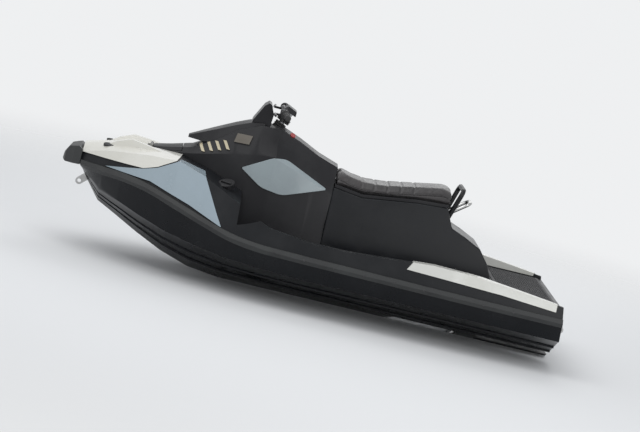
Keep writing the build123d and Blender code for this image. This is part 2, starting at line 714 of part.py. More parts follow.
with BuildPart() as bar_pad:
    with BuildSketch(STEM_PLANE.offset(BAR_R + 8)):
        RectangleRounded(150, 78, 20)
        with Locations((0, 0)):
            RectangleRounded(90, 60, 16)
    extrude(amount=26, taper=24)
save(bar_pad.part, "bar_pad")

for side, word in [(1, "left"), (-1, "right")]:
    tip = Vector(*place(BAR_PATH[2][0], side * BAR_PATH[2][1], BAR_PATH[2][2]))
    bend = Vector(*place(BAR_PATH[1][0], side * BAR_PATH[1][1], BAR_PATH[1][2]))
    inward = (bend - tip).normalized()
    with BuildPart() as grip:
        with BuildSketch(Plane(origin=tip - inward * 6, z_dir=inward)):
            Circle(GRIP_R)
        extrude(amount=GRIP_LENGTH)
        add(handlebar.part, mode=Mode.SUBTRACT)
    save(grip.part, f"grip_{word}")
    with BuildPart() as lever:
        with BuildSketch(Plane(origin=tip + inward * (GRIP_LENGTH - 4), z_dir=inward)):
            Circle(20)
            with Locations((0, 0)):
                Circle(BAR_R, mode=Mode.SUBTRACT)
        extrude(amount=26)
        with BuildSketch(Plane.XY.offset(tip.Z - 8)):
            with BuildLine():
                near = (tip + inward * (GRIP_LENGTH + 9)).X
                outline = [(near + 14, 203), (near + 52, 206), (near + 58, 240), (near + 50, 335),
                           (near + 42, 335), (near + 46, 244), (near + 40, 224), (near + 14, 221)]
                Polyline(*[(x, side * y) for x, y in outline], close=True)
            make_face()
        extrude(amount=12)
        add(handlebar.part, mode=Mode.SUBTRACT)
    save(lever.part, "brake_lever" if side == 1 else "throttle_lever")

# Engine block
with BuildPart() as engine:
    add(block(ENGINE_AFT[0], ENGINE_AFT[1], -ENGINE_HALF, ENGINE_HALF, ENGINE_H[0], ENGINE_H[1]))
save(engine.part, "engine")

# Ride plate under the jet tunnel, and the intake grate
with BuildPart() as ride_plate:
    add(BODY)
    add(block(PUMP_AFT + SEAT_GAP, LENGTH + 10, -TUNNEL_HALF + SEAT_GAP, TUNNEL_HALF - SEAT_GAP, -20,
              RIDE_PLATE_H), mode=Mode.INTERSECT)
save(ride_plate.part, "ride_plate")

GRATE_BARS = 5
GRATE_PITCH = 26.0
GRATE_AFT = (1892.0, 2236.0)
with BuildPart() as grate_form:
    for index in range(GRATE_BARS):
        y_mid = (index - (GRATE_BARS - 1) / 2) * GRATE_PITCH
        top = 14 + abs(y_mid) * 0.35
        add(block(GRATE_AFT[0], GRATE_AFT[1], y_mid - 4, y_mid + 4, -20, top))
    for aft_from in (GRATE_AFT[0], GRATE_AFT[1] - 14):
        add(block(aft_from, aft_from + 14, -DUCT_HALF, DUCT_HALF, -20, 36))
with BuildPart() as intake_grate:
    add(grate_form.part)
    add(BODY, mode=Mode.INTERSECT)
    add(hull.part, mode=Mode.SUBTRACT)
save(intake_grate.part, "intake_grate")

# Pump housing with its stator vanes and tail bearing
PUMP_PLANE = Plane(origin=place(PUMP_AFT, 0, JET_H), x_dir=(0, 1, 0), z_dir=(-1, 0, 0))
HUB_R = 30.0
IMPELLER_LENGTH = 58.0
VANE_LENGTH = 46.0
with BuildPart() as pump_housing:
    with BuildSketch(PUMP_PLANE):
        Circle(FLANGE_R)
        Circle(PUMP_BORE_R, mode=Mode.SUBTRACT)
    extrude(amount=12)
    with BuildSketch(PUMP_PLANE):
        Circle(PUMP_BORE_R + PUMP_WALL)
        Circle(PUMP_BORE_R, mode=Mode.SUBTRACT)
    extrude(amount=PUMP_LENGTH)
    with BuildSketch(PUMP_PLANE.offset(PUMP_LENGTH - VANE_LENGTH)):
        Circle(HUB_R)
        with PolarLocations((HUB_R + PUMP_BORE_R) / 2, VANES):
            Rectangle(PUMP_BORE_R - HUB_R + 6, 3)
        Circle(SHAFT_R + RUNNING, mode=Mode.SUBTRACT)
    extrude(amount=VANE_LENGTH)
save(pump_housing.part, "pump_housing")

# Impeller, its blades twisted from hub to tip, and the drive shaft
BLADE_TIP_R = PUMP_BORE_R - 1.5
BLADE_THICK = 3.0
BLADE_LEAN = (62.0, 30.0)
with BuildPart() as impeller:
    with BuildSketch(PUMP_PLANE.offset(8)):
        Circle(HUB_R)
    extrude(amount=IMPELLER_LENGTH)
    for turn in range(BLADES):
        spin = turn * 360 / BLADES
        with BuildPart(mode=Mode.PRIVATE) as blade:
            for radius, lean in zip((HUB_R - 4, BLADE_TIP_R), BLADE_LEAN):
                at_radius = PUMP_PLANE.offset(8 + IMPELLER_LENGTH / 2).rotated((0, 0, spin))
                with BuildSketch(Plane(origin=at_radius.from_local_coords((radius, 0, 0)),
                                       x_dir=at_radius.z_dir, z_dir=at_radius.x_dir)):
                    Rectangle(IMPELLER_LENGTH / sin(radians(90 - lean / 2)) * 0.8, BLADE_THICK,
                              rotation=lean)
            loft(ruled=True)
        add(blade.part)
    with BuildSketch(PUMP_PLANE.offset(3)):
        Circle(BLADE_TIP_R)
    extrude(amount=PUMP_LENGTH - VANE_LENGTH - 6, mode=Mode.INTERSECT)
    with BuildSketch(PUMP_PLANE):
        Circle(SHAFT_R)
    extrude(amount=PUMP_LENGTH, mode=Mode.SUBTRACT)
save(impeller.part, "impeller")

with BuildPart() as drive_shaft:
    with BuildSketch(PUMP_PLANE.offset(PUMP_LENGTH - 8)):
        Circle(SHAFT_R)
    extrude(amount=-(PUMP_AFT - ENGINE_AFT[1] + PUMP_LENGTH - 8 - SEAT_GAP))
save(drive_shaft.part, "drive_shaft")

# Venturi, its bosses carrying the nozzle's and the bucket's pivots
VENTURI_AFT = PUMP_AFT + PUMP_LENGTH
VENTURI_WALL = 5.0
VENTURI_NECK = 30.0
BUCKET_BOSS = BUCKET_HALF - SEAT_GAP
VENTURI_END = VENTURI_AFT + VENTURI_LENGTH
JET_AXIS = Axis(place(0, 0, JET_H), (1, 0, 0))
with BuildPart() as venturi:
    with BuildSketch(Plane.XZ):
        with BuildLine():
            outline = [
                (VENTURI_AFT, PUMP_BORE_R + PUMP_WALL),
                (VENTURI_AFT + 12, PUMP_BORE_R + PUMP_WALL),
                (VENTURI_END - VENTURI_NECK, VENTURI_EXIT_R + VENTURI_WALL),
                (VENTURI_END, VENTURI_EXIT_R + VENTURI_WALL),
                (VENTURI_END, VENTURI_EXIT_R),
                (VENTURI_END - VENTURI_NECK, VENTURI_EXIT_R),
                (VENTURI_AFT, PUMP_BORE_R),
            ]
            Polyline(*[(x_at(aft), z_at(JET_H + r)) for aft, r in outline], close=True)
        make_face()
    revolve(axis=JET_AXIS)
    for side in (1, -1):
        with BuildSketch(Plane.XZ.offset(-side * BUCKET_BOSS)):
            with Locations((x_at(BUCKET_PIVOT_AFT), z_at(JET_H))):
                Circle(13)
        extrude(amount=side * (BUCKET_BOSS - VENTURI_EXIT_R - 3))
        with BuildSketch(Plane.XZ.offset(-side * (BUCKET_HALF + BUCKET_WALL + 4))):
            with Locations((x_at(BUCKET_PIVOT_AFT), z_at(JET_H))):
                Circle(PIVOT_PIN_R)
        extrude(amount=side * 14)
        lug = sorted((JET_H + side * VENTURI_EXIT_R, JET_H + side * (VENTURI_EXIT_R + VENTURI_WALL)))
        add(block(VENTURI_END - 12, NOZZLE_PIVOT_AFT + 9, -9, 9, lug[0], lug[1]))
        with BuildSketch(Plane.XY.offset(z_at(JET_H + side * VENTURI_EXIT_R))):
            with Locations((x_at(NOZZLE_PIVOT_AFT), 0)):
                Circle(PIVOT_PIN_R)
        extrude(amount=side * (NOZZLE_R + NOZZLE_WALL + 3 - VENTURI_EXIT_R))
save(venturi.part, "venturi")

# Steering nozzle, its ears round the venturi's pins
with BuildPart() as steering_nozzle:
    with BuildSketch(Plane.XZ):
        with BuildLine():
            outline = [
                (NOZZLE_PIVOT_AFT - 4, NOZZLE_R + NOZZLE_WALL),
                (NOZZLE_PIVOT_AFT + 12, NOZZLE_R + NOZZLE_WALL),
                (NOZZLE_END_AFT, NOZZLE_EXIT_R + NOZZLE_WALL),
                (NOZZLE_END_AFT, NOZZLE_EXIT_R),
                (NOZZLE_PIVOT_AFT + 12, NOZZLE_R),
                (NOZZLE_PIVOT_AFT - 4, NOZZLE_R),
            ]
            Polyline(*[(x_at(aft), z_at(JET_H + r)) for aft, r in outline], close=True)
        make_face()
    revolve(axis=JET_AXIS)
    for side in (1, -1):
        with BuildSketch(Plane.XY.offset(z_at(JET_H + side * (NOZZLE_R - 2.5)))):
            with Locations((x_at(NOZZLE_PIVOT_AFT), 0)):
                Circle(14)
        extrude(amount=side * (NOZZLE_WALL + 2.5))
    with BuildSketch(Plane.XY.offset(z_at(JET_H - 100))):
        with Locations((x_at(NOZZLE_PIVOT_AFT), 0)):
            Circle(PIVOT_PIN_R + RUNNING)
    extrude(amount=200, mode=Mode.SUBTRACT)
save(steering_nozzle.part, "steering_nozzle")

# Reverse bucket, stowed above the nozzle
BUCKET_SPAN = (26.0, 100.0)
with BuildPart() as reverse_bucket:
    pivot = (x_at(BUCKET_PIVOT_AFT), z_at(JET_H))
    with BuildSketch(Plane.XZ.offset(-BUCKET_HALF - BUCKET_WALL)) as cheek:
        with BuildLine():
            first = [180 - BUCKET_SPAN[0], 180 - BUCKET_SPAN[1]]
            middle = sum(first) / 2
            arc = [(pivot[0] + (BUCKET_R + BUCKET_WALL) * cos(radians(a)),
                    pivot[1] + (BUCKET_R + BUCKET_WALL) * sin(radians(a)))
                   for a in (first[0], middle, first[1])]
            ThreePointArc(*arc)
            Polyline(arc[2], (pivot[0] + 16, pivot[1] + 6), (pivot[0] + 6, pivot[1] - 16),
                     (pivot[0] - 12, pivot[1] - 12), arc[0])
        make_face()
    extrude(amount=2 * (BUCKET_HALF + BUCKET_WALL))
    with BuildSketch(Plane.XZ.offset(-BUCKET_HALF)):
        with Locations(pivot):
            Circle(BUCKET_R)
    extrude(amount=2 * BUCKET_HALF, mode=Mode.SUBTRACT)
    with BuildSketch(Plane.XZ.offset(-BUCKET_HALF - 20)):
        with Locations(pivot):
            Circle(PIVOT_PIN_R + RUNNING)
    extrude(amount=2 * BUCKET_HALF + 40, mode=Mode.SUBTRACT)
save(reverse_bucket.part, "reverse_bucket")

# Lugs: one on the stem, two on the transom
EYE_R = 10.0
EYE_WALL = 10.0
EYE_THICK = 12.0
EYES = {
    "bow_eye": [(112, 0, 336), (150, 0, 372)],
    "stern_eye_left": [(2768, 380, 215), (2738, 380, 215)],
    "stern_eye_right": [(2768, -380, 215), (2738, -380, 215)],
}
for name, (centre, root) in EYES.items():
    with BuildPart() as eye:
        with BuildSketch(Plane.XZ.offset(-centre[1] - EYE_THICK / 2)):
            with BuildLine():
                a = Vector(x_at(centre[0]), z_at(centre[2]))
                b = Vector(x_at(root[0]), z_at(root[2]))
                across = (b - a).normalized().rotate(Axis.Z, 90) * (EYE_R + EYE_WALL)
                Polyline(a + across, b + across, b - across, a - across, close=True)
            make_face()
            with Locations((a.X, a.Y)):
                Circle(EYE_R + EYE_WALL)
                Circle(EYE_R, mode=Mode.SUBTRACT)
        extrude(amount=EYE_THICK)
        add(BODY, mode=Mode.SUBTRACT)
    save(eye.part, name)

# Drain plugs, low in the transom
with BuildPart() as drain_plugs:
    for y_mid in (230, -230):
        with BuildSketch(Plane.YZ.offset(x_at(LENGTH) + 10)):
            with Locations((y_mid, z_at(130))):
                Circle(16)
        extrude(amount=30)
    add(BODY, mode=Mode.SUBTRACT)
save(drain_plugs.part, "drain_plugs")
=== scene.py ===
# %% [markdown]
# # A light two-up personal watercraft
# The craft is a moulded V hull with a decked body, a console that carries the handlebar, a long
# seat and a water jet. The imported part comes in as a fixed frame, in metres. X points to the bow,
# Y to port and Z up from the waterline. Everything made here is built round that frame, and the
# frame itself is never moved.
# %% Load the frame
import json
from math import cos, pi, radians, sin

import bpy
from mathutils import Matrix, Vector


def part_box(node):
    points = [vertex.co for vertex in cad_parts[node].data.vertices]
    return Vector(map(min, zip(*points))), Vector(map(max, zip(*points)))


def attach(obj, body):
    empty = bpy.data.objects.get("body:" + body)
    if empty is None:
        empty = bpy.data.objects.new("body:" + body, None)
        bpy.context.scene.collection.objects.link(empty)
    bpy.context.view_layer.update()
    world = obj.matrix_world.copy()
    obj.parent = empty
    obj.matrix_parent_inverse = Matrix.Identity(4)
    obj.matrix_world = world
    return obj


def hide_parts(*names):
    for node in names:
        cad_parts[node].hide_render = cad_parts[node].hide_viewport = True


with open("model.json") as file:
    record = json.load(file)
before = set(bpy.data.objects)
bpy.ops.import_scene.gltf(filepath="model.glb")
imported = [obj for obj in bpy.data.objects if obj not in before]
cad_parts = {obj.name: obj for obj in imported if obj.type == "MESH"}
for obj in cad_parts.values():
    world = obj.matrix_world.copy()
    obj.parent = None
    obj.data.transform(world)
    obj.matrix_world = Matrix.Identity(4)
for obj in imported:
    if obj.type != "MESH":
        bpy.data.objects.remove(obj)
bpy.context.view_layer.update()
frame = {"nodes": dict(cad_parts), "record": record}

node_slot = {row["node"]: row["material_slot"] for row in frame["record"]["subparts"]}
print("nodes:", len(frame["nodes"]), "slots:", len(set(node_slot.values())))

# %% [markdown]
# ## Places
# A boat's drawing gives a station as a distance behind the bow and a height above the keel. Every
# place could be typed in the frame's own metres, but such numbers are hard to check against a
# drawing. One small function turns stations into the frame's metres for the pieces below.
# %% Places on the craft
HALF_LENGTH = 1.395
DRAFT = 0.185
SIDES = ((1, "left"), (-1, "right"))


def place(aft, y, h):
    """A point from its station behind the bow, its distance to port and its height."""
    return Vector((HALF_LENGTH - aft, y, h - DRAFT))


print("bow at keel height:", tuple(place(0, 0, 0)))

# %% [markdown]
# ## Shared effects
# Moulded plastic, rubber and vinyl all show a fine grain, and after some use every surface has
# faint, uneven haze and dried drops. These could be drawn anew in each material. Each is a node
# group instead, built once, and every finish below places it with its own values, so that one
# change reaches them all. The small functions here save writing each node out by hand.
# %% Node helpers
def socket_name(label):
    """A socket's name from a keyword, such as Coat Weight from coat_weight."""
    return label.replace("_", " ").title().replace("Ior", "IOR")


def feed(tree, source, socket):
    """Write a number into a socket, or link another socket to it."""
    if isinstance(source, (int, float)):
        socket.default_value = source
    else:
        tree.links.new(source, socket)


def new_group(name, inputs, outputs):
    """An empty shader node group with its named sockets."""
    tree = bpy.data.node_groups.new(name, "ShaderNodeTree")
    for label, kind, value in inputs:
        socket = tree.interface.new_socket(label, in_out="INPUT", socket_type=kind)
        if value is not None:
            socket.default_value = value
    for label, kind in outputs:
        tree.interface.new_socket(label, in_out="OUTPUT", socket_type=kind)
    return tree, tree.nodes.new("NodeGroupInput"), tree.nodes.new("NodeGroupOutput")


def texture(tree, kind, vector, scale, **values):
    """A texture node reading one vector, its scale a socket or a number."""
    node = tree.nodes.new("ShaderNodeTex" + kind)
    tree.links.new(vector, node.inputs["Vector"])
    feed(tree, scale, node.inputs["Scale"])
    for label, value in values.items():
        node.inputs[socket_name(label)].default_value = value
    return node


def ramp(tree, source, low, high, to_low=0.0, to_high=1.0):
    """A smooth step from one value to another."""
    node = tree.nodes.new("ShaderNodeMapRange")
    node.interpolation_type = "SMOOTHSTEP"
    tree.links.new(source, node.inputs["Value"])
    ends = {"From Min": low, "From Max": high, "To Min": to_low, "To Max": to_high}
    for label, value in ends.items():
        node.inputs[label].default_value = value
    return node.outputs["Result"]


def calculated(tree, operation, *sources):
    """A Math node's result from sockets and numbers."""
    node = tree.nodes.new("ShaderNodeMath")
    node.operation = operation
    for source, socket in zip(sources, node.inputs):
        feed(tree, source, socket)
    return node.outputs["Value"]


# %% [markdown]
# ### Grain
# A mould is etched, and vinyl is embossed, so both are rough at a scale of a millimetre. The grain
# could be an image, but a noise texture has no seam and no limit to its sharpness. Noise gives
# round pimples, cells give leather, and one input blends the two.
# %% Grain, from fine pimples to leather cells
BUMP_STRENGTH = 0.6
grain_group, entry, leave = new_group(
    "grain",
    [("Vector", "NodeSocketVector", None), ("Scale", "NodeSocketFloat", 600.0),
     ("Cells", "NodeSocketFloat", 0.3), ("Depth", "NodeSocketFloat", 0.0002)],
    [("Normal", "NodeSocketVector"), ("Height", "NodeSocketFloat")],
)
vector, grain_scale = entry.outputs["Vector"], entry.outputs["Scale"]
pimples = texture(grain_group, "Noise", vector, grain_scale, detail=3.0)
cells = texture(grain_group, "Voronoi", vector, grain_scale)
blend = grain_group.nodes.new("ShaderNodeMix")
grain_group.links.new(entry.outputs["Cells"], blend.inputs["Factor"])
grain_group.links.new(pimples.outputs["Fac"], blend.inputs["A"])
grain_group.links.new(cells.outputs["Distance"], blend.inputs["B"])
bump = grain_group.nodes.new("ShaderNodeBump")
bump.inputs["Strength"].default_value = BUMP_STRENGTH
grain_group.links.new(blend.outputs["Result"], bump.inputs["Height"])
grain_group.links.new(entry.outputs["Depth"], bump.inputs["Distance"])
grain_group.links.new(bump.outputs["Normal"], leave.inputs["Normal"])
grain_group.links.new(blend.outputs["Result"], leave.inputs["Height"])
print("grain nodes:", len(grain_group.nodes))

# %% [markdown]
# ### Haze and drops
# Salt dries in broad clouds and in small round spots where drops stood. Painting them by hand would
# tie them to one shape. A cloud noise masks the haze, and a cell texture's short distances are the
# drops, kept only where the clouds are thick, so that they come in groups as real ones do.
# %% Haze and dried drops
CLOUD_EDGES = (0.38, 0.68)
DROP_SCALE = 85.0
DROP_EDGES = (0.24, 0.16)
DROP_CLOUD_EDGES = (0.5, 0.62)
haze_group, entry, leave = new_group(
    "haze",
    [("Vector", "NodeSocketVector", None), ("Scale", "NodeSocketFloat", 3.0)],
    [("Haze", "NodeSocketFloat"), ("Drops", "NodeSocketFloat")],
)
vector = entry.outputs["Vector"]
clouds = texture(haze_group, "Noise", vector, entry.outputs["Scale"], detail=5.0, roughness=0.6)
drops = texture(haze_group, "Voronoi", vector, DROP_SCALE)
haze_mask = ramp(haze_group, clouds.outputs["Fac"], *CLOUD_EDGES)
round_drops = ramp(haze_group, drops.outputs["Distance"], *DROP_EDGES)
where_thick = ramp(haze_group, clouds.outputs["Fac"], *DROP_CLOUD_EDGES)
haze_group.links.new(haze_mask, leave.inputs["Haze"])
haze_group.links.new(calculated(haze_group, "MULTIPLY", round_drops, where_thick), leave.inputs["Drops"])
print("haze nodes:", len(haze_group.nodes))

# %% [markdown]
# ## Finishes
# A finish is one material for one of the record's slots. A single flat colour would look like a
# toy, so the colour drifts between a clean and a worn tone with the haze, the roughness follows
# the same haze, and the surface carries the grain. The coat, sheen and metallic values are the
# same all over, so they sit on the shader itself.
# %% One function makes each finish
finishes = {}


def placed(tree, group, coords, **values):
    """A node group in a material, reading one vector, with its own values."""
    node = tree.nodes.new("ShaderNodeGroup")
    node.node_tree = group
    tree.links.new(coords, node.inputs["Vector"])
    for label, value in values.items():
        node.inputs[socket_name(label)].default_value = value
    return node


def mixed_colour(tree, factor, first, second):
    """A blend of two colours, each three numbers or a socket."""
    node = tree.nodes.new("ShaderNodeMix")
    node.data_type = "RGBA"
    tree.links.new(factor, node.inputs["Factor"])
    for label, colour in (("A", first), ("B", second)):
        if isinstance(colour, tuple):
            node.inputs[label].default_value = (*colour, 1)
        else:
            tree.links.new(colour, node.inputs[label])
    return node.outputs["Result"]


def finish(slot, tone, worn, roughness, grain=None, haze_scale=3.0, drops=0.0, **shader_values):
    """A material from a clean and a worn tone, and from the roughness of each."""
    material = bpy.data.materials.new(slot)
    material.use_nodes = True
    tree = material.node_tree
    shader = tree.nodes["Principled BSDF"]
    coords = tree.nodes.new("ShaderNodeTexCoord").outputs["Object"]
    haze = placed(tree, haze_group, coords, scale=haze_scale)
    colour = mixed_colour(tree, haze.outputs["Haze"], tone, worn)
    tree.links.new(colour, shader.inputs["Base Color"])
    gloss = ramp(tree, haze.outputs["Haze"], 0, 1, *roughness)
    if drops:
        gloss = calculated(tree, "MULTIPLY_ADD", haze.outputs["Drops"], drops, gloss)
    tree.links.new(gloss, shader.inputs["Roughness"])
    if grain:
        surface = placed(tree, grain_group, coords, **grain)
        tree.links.new(surface.outputs["Normal"], shader.inputs["Normal"])
    for label, value in shader_values.items():
        shader.inputs[socket_name(label)].default_value = value
    finishes[slot] = material
    return material


def grained(scale, cells, depth):
    """The grain group's values: how fine, how much like leather, and how deep in metres."""
    return {"scale": scale, "cells": cells, "depth": depth}


# %% [markdown]
# ### Gel coat and paint
# The hull is black gel coat, which is glossy with a slow ripple from its mould. The deck is the
# same black with a satin skin. Hood, fairings, panels and fenders are painted under a clear coat,
# with the faint orange peel that paint takes as it dries. Hood and fenders are pale. The fairings
# and panels carry the same pale paint, but their tones are darkened to blue-grey by painted shade
# and a painted reflection of the sky. Black gloss mirrors a bright room strongly, so its specular
# level is held down, and it stays black beside the pale paint.
# %% Gel coat and paint
RIPPLE = grained(14, 0.0, 0.0006)
ORANGE_PEEL = grained(160, 0.0, 0.00008)
DEEP_BLACK = 0.22
finish("hull_black", (0.006, 0.007, 0.009), (0.011, 0.012, 0.014), (0.18, 0.30),
       RIPPLE, 2.0, 0.14, specular_ior_level=DEEP_BLACK)
finish("deck_black", (0.009, 0.010, 0.012), (0.015, 0.016, 0.018), (0.30, 0.42),
       grained(420, 0.2, 0.00012), 4.0, 0.12, specular_ior_level=DEEP_BLACK)
finish("hood_white", (0.74, 0.73, 0.68), (0.68, 0.67, 0.61), (0.20, 0.34),
       ORANGE_PEEL, 3.0, 0.1, coat_weight=0.6)
# fairing_grey and panel_grey: pale paint darkened by painted shade and tinted by a painted sky reflection
finish("fairing_grey", (0.30, 0.37, 0.42), (0.265, 0.33, 0.37), (0.22, 0.34),
       ORANGE_PEEL, 3.0, 0.1, coat_weight=0.6)
finish("panel_grey", (0.29, 0.345, 0.365), (0.255, 0.30, 0.32), (0.28, 0.40),
       ORANGE_PEEL, 4.0, 0.08, coat_weight=0.3)
finish("fender_white", (0.69, 0.69, 0.65), (0.62, 0.62, 0.57), (0.20, 0.34),
       ORANGE_PEEL, 3.0, 0.1, coat_weight=0.6)
print("painted finishes:", len(finishes))

# %% [markdown]
# ### Plastics, rubber and vinyl
# Moulded black plastic has a coarse grain that kills its shine, and rubber is duller still and a
# little grey. The seat's vinyl has leather cells and a soft sheen at its edges. Each is the same
# function with other values, which keeps the family of blacks easy to compare.
# %% Plastics, rubber and vinyl
finish("rail_black", (0.022, 0.023, 0.024), (0.040, 0.042, 0.042), (0.55, 0.70),
       grained(240, 0.1, 0.0002), 5.0)
finish("console_black", (0.014, 0.014, 0.016), (0.024, 0.024, 0.026), (0.38, 0.50),
       grained(520, 0.5, 0.0002), 4.0, 0.06, specular_ior_level=DEEP_BLACK)
finish("louvre_beige", (0.60, 0.53, 0.37), (0.50, 0.44, 0.31), (0.42, 0.52),
       grained(420, 0.3, 0.00012), 6.0)
finish("seat_vinyl", (0.017, 0.015, 0.016), (0.030, 0.026, 0.027), (0.42, 0.54),
       grained(330, 0.85, 0.0005), 6.0, sheen_weight=0.15)
finish("mat_black", (0.026, 0.026, 0.028), (0.046, 0.046, 0.048), (0.72, 0.85),
       grained(300, 0.4, 0.0004), 5.0)
finish("grip_rubber", (0.018, 0.018, 0.018), (0.030, 0.030, 0.030), (0.60, 0.72),
       grained(420, 0.2, 0.0002), 8.0)
finish("red_plastic", (0.38, 0.035, 0.035), (0.30, 0.03, 0.03), (0.32, 0.42),
       grained(300, 0.2, 0.0001), 8.0)
print("finishes so far:", len(finishes))

# %% [markdown]
# ### The patch behind the louvres
# The side louvres are beige, and the patch behind them is painted darker with a brown-grey shade,
# but both belong to one slot. Two materials on one piece would need its faces sorted. The patch lies
# wholly behind one station, so a sharp step along X lays the painted shade on it, and the piece
# keeps one material.
# %% Painted shade on the louvres' patch
PATCH_EDGE_X = 0.533
PATCH_STEP = 0.002
# The patch's darker brown-grey tone is painted shade over the beige.
SHADED_PATCH_TONE = (0.10, 0.086, 0.068)
tree = finishes["louvre_beige"].node_tree
base_colour = tree.nodes["Principled BSDF"].inputs["Base Color"]
beige = base_colour.links[0].from_socket
spot = tree.nodes.new("ShaderNodeSeparateXYZ")
tree.links.new(tree.nodes["Texture Coordinate"].outputs["Object"], spot.inputs["Vector"])
behind = ramp(tree, spot.outputs["X"], PATCH_EDGE_X, PATCH_EDGE_X - PATCH_STEP)
tree.links.new(mixed_colour(tree, behind, beige, SHADED_PATCH_TONE), base_colour)
print("painted_shade behind x =", PATCH_EDGE_X)

# %% [markdown]
# ### Metals and glass
# The pump is bead-blasted alloy, the lugs are stainless steel and the bar is powder coated. A metal
# is the same shader with its metallic value at one, where the colour tints what it mirrors, so its
# roughness is what makes it dull or bright. The display is dark and nearly polished.
# %% Metals and the display's glass
finish("bar_black", (0.020, 0.020, 0.022), (0.032, 0.032, 0.034), (0.34, 0.46),
       grained(380, 0.1, 0.00008), 8.0)
finish("stainless", (0.48, 0.48, 0.475), (0.38, 0.38, 0.375), (0.22, 0.36),
       grained(240, 0.0, 0.00005), 9.0, metallic=1.0)
finish("pump_alloy", (0.46, 0.47, 0.48), (0.36, 0.37, 0.38), (0.42, 0.56),
       grained(520, 0.2, 0.00012), 7.0, metallic=1.0)
finish("engine_grey", (0.20, 0.20, 0.21), (0.15, 0.15, 0.16), (0.45, 0.60),
       grained(200, 0.3, 0.0004), 6.0)
finish("screen", (0.010, 0.014, 0.016), (0.016, 0.020, 0.022), (0.06, 0.12),
       None, 8.0, coat_weight=1.0)
print("finishes:", len(finishes))

# %% [markdown]
# ## Moulded pieces with soft edges
# The frame's solids have knife edges, but a mould never makes one, and it is the thin bright line
# along an edge that makes a moulding look real. A bevel in the shader would be quicker, but it is
# lost when the meshes are used elsewhere. So each rigid piece is copied, its loose triangles are
# merged, flat faces are joined up again, and a small bevel rounds every real edge. The copy then
# stands for the frame's node.
# %% Tools for pieces
WELD = 0.00002
FLAT_ANGLE = radians(0.4)


def clear_selection():
    """Nothing is selected, so that an operator acts only on what comes next."""
    bpy.ops.object.select_all(action="DESELECT")


def select_only(piece):
    """One piece is selected and active."""
    clear_selection()
    piece.select_set(True)
    bpy.context.view_layer.objects.active = piece


def new_piece(name, data):
    """An object with its data, in the scene."""
    piece = bpy.data.objects.new(name, data)
    bpy.context.collection.objects.link(piece)
    return piece


def apply_modifiers(piece):
    """Every modifier becomes part of the mesh, in order."""
    select_only(piece)
    for modifier in list(piece.modifiers):
        bpy.ops.object.modifier_apply(modifier=modifier.name)


def apply_place(piece):
    """The object's place, turn and scale become part of the mesh."""
    select_only(piece)
    bpy.ops.object.transform_apply(location=True, rotation=True, scale=True)


def settle(piece, name, body, slot):
    """A finished piece: its place in its mesh, its body, and the material of its slot."""
    apply_place(piece)
    piece.name = name
    piece.data.name = name
    piece.data.materials.clear()
    piece.data.materials.append(finishes[slot])
    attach(piece, body)
    return piece


def joined(pieces):
    """Several pieces as one."""
    clear_selection()
    for piece in pieces:
        piece.select_set(True)
    bpy.context.view_layer.objects.active = pieces[0]
    bpy.ops.object.join()
    return bpy.context.object


def merged_copy(node):
    """A copy of a node's mesh with its triangles joined."""
    piece = new_piece(node + "_copy", frame["nodes"][node].data.copy())
    select_only(piece)
    bpy.ops.object.mode_set(mode="EDIT")
    bpy.ops.mesh.select_all(action="SELECT")
    bpy.ops.mesh.remove_doubles(threshold=WELD)
    bpy.ops.mesh.dissolve_limited(angle_limit=FLAT_ANGLE)
    bpy.ops.object.mode_set(mode="OBJECT")
    return piece


# %% [markdown]
# ### Rounding and shading
# Edges that turn by more than a corner are real, and the rest are facets of a curve. Smooth shading
# alone would bend the light over large flat faces, so weighted normals let the large faces lead.
# %% Rounded edges and even shading
CORNER = radians(30)
MOULD_CORNER = radians(28)
MOULD_SMOOTH = radians(32)


def round_edges(piece, width, segments, corner=CORNER):
    """Bevel every edge that turns by more than a corner."""
    edge = piece.modifiers.new("edge", "BEVEL")
    edge.width = width
    edge.segments = segments
    edge.limit_method = "ANGLE"
    edge.angle_limit = corner
    apply_modifiers(piece)


def soften(piece, width):
    """Round a moulding's edges and shade the rest smooth, led by the large faces."""
    round_edges(piece, width, 2, MOULD_CORNER)
    bpy.ops.object.shade_smooth_by_angle(angle=MOULD_SMOOTH)
    even = piece.modifiers.new("even_shading", "WEIGHTED_NORMAL")
    even.keep_sharp = True
    apply_modifiers(piece)


# %% [markdown]
# ### Two mouldings that need more
# The front tips of the rear fenders lean back, so they are cut along one slanted plane, which is
# more exact than moving their corners. The frame's hood has its raised ridge on the port half
# alone. The real one has two, so the port half is mirrored. A mirror can turn faces inside out, so
# the doubles are merged and the normals are worked out again.
# %% Trim and mirror
FENDER_FRONT = place(1.905, 0, 0.390)
FENDER_LEAN = (0.86, 0, 0.5)
MIRROR_MERGE = 0.0002


def trim(piece, point, direction):
    """Cut away what lies past a plane, in the given direction, and close the cut."""
    select_only(piece)
    bpy.ops.object.mode_set(mode="EDIT")
    bpy.ops.mesh.select_all(action="SELECT")
    bpy.ops.mesh.bisect(plane_co=point, plane_no=direction, use_fill=True, clear_outer=True)
    bpy.ops.object.mode_set(mode="OBJECT")


def port_half_mirrored(piece):
    """Keep the port half and mirror it to starboard."""
    mirror = piece.modifiers.new("both_sides", "MIRROR")
    mirror.use_axis = (False, True, False)
    mirror.use_bisect_axis = (False, True, False)
    mirror.merge_threshold = MIRROR_MERGE
    apply_modifiers(piece)
    bpy.ops.object.mode_set(mode="EDIT")
    bpy.ops.mesh.select_all(action="SELECT")
    bpy.ops.mesh.remove_doubles(threshold=WELD)
    bpy.ops.mesh.normals_make_consistent(inside=False)
    bpy.ops.object.mode_set(mode="OBJECT")


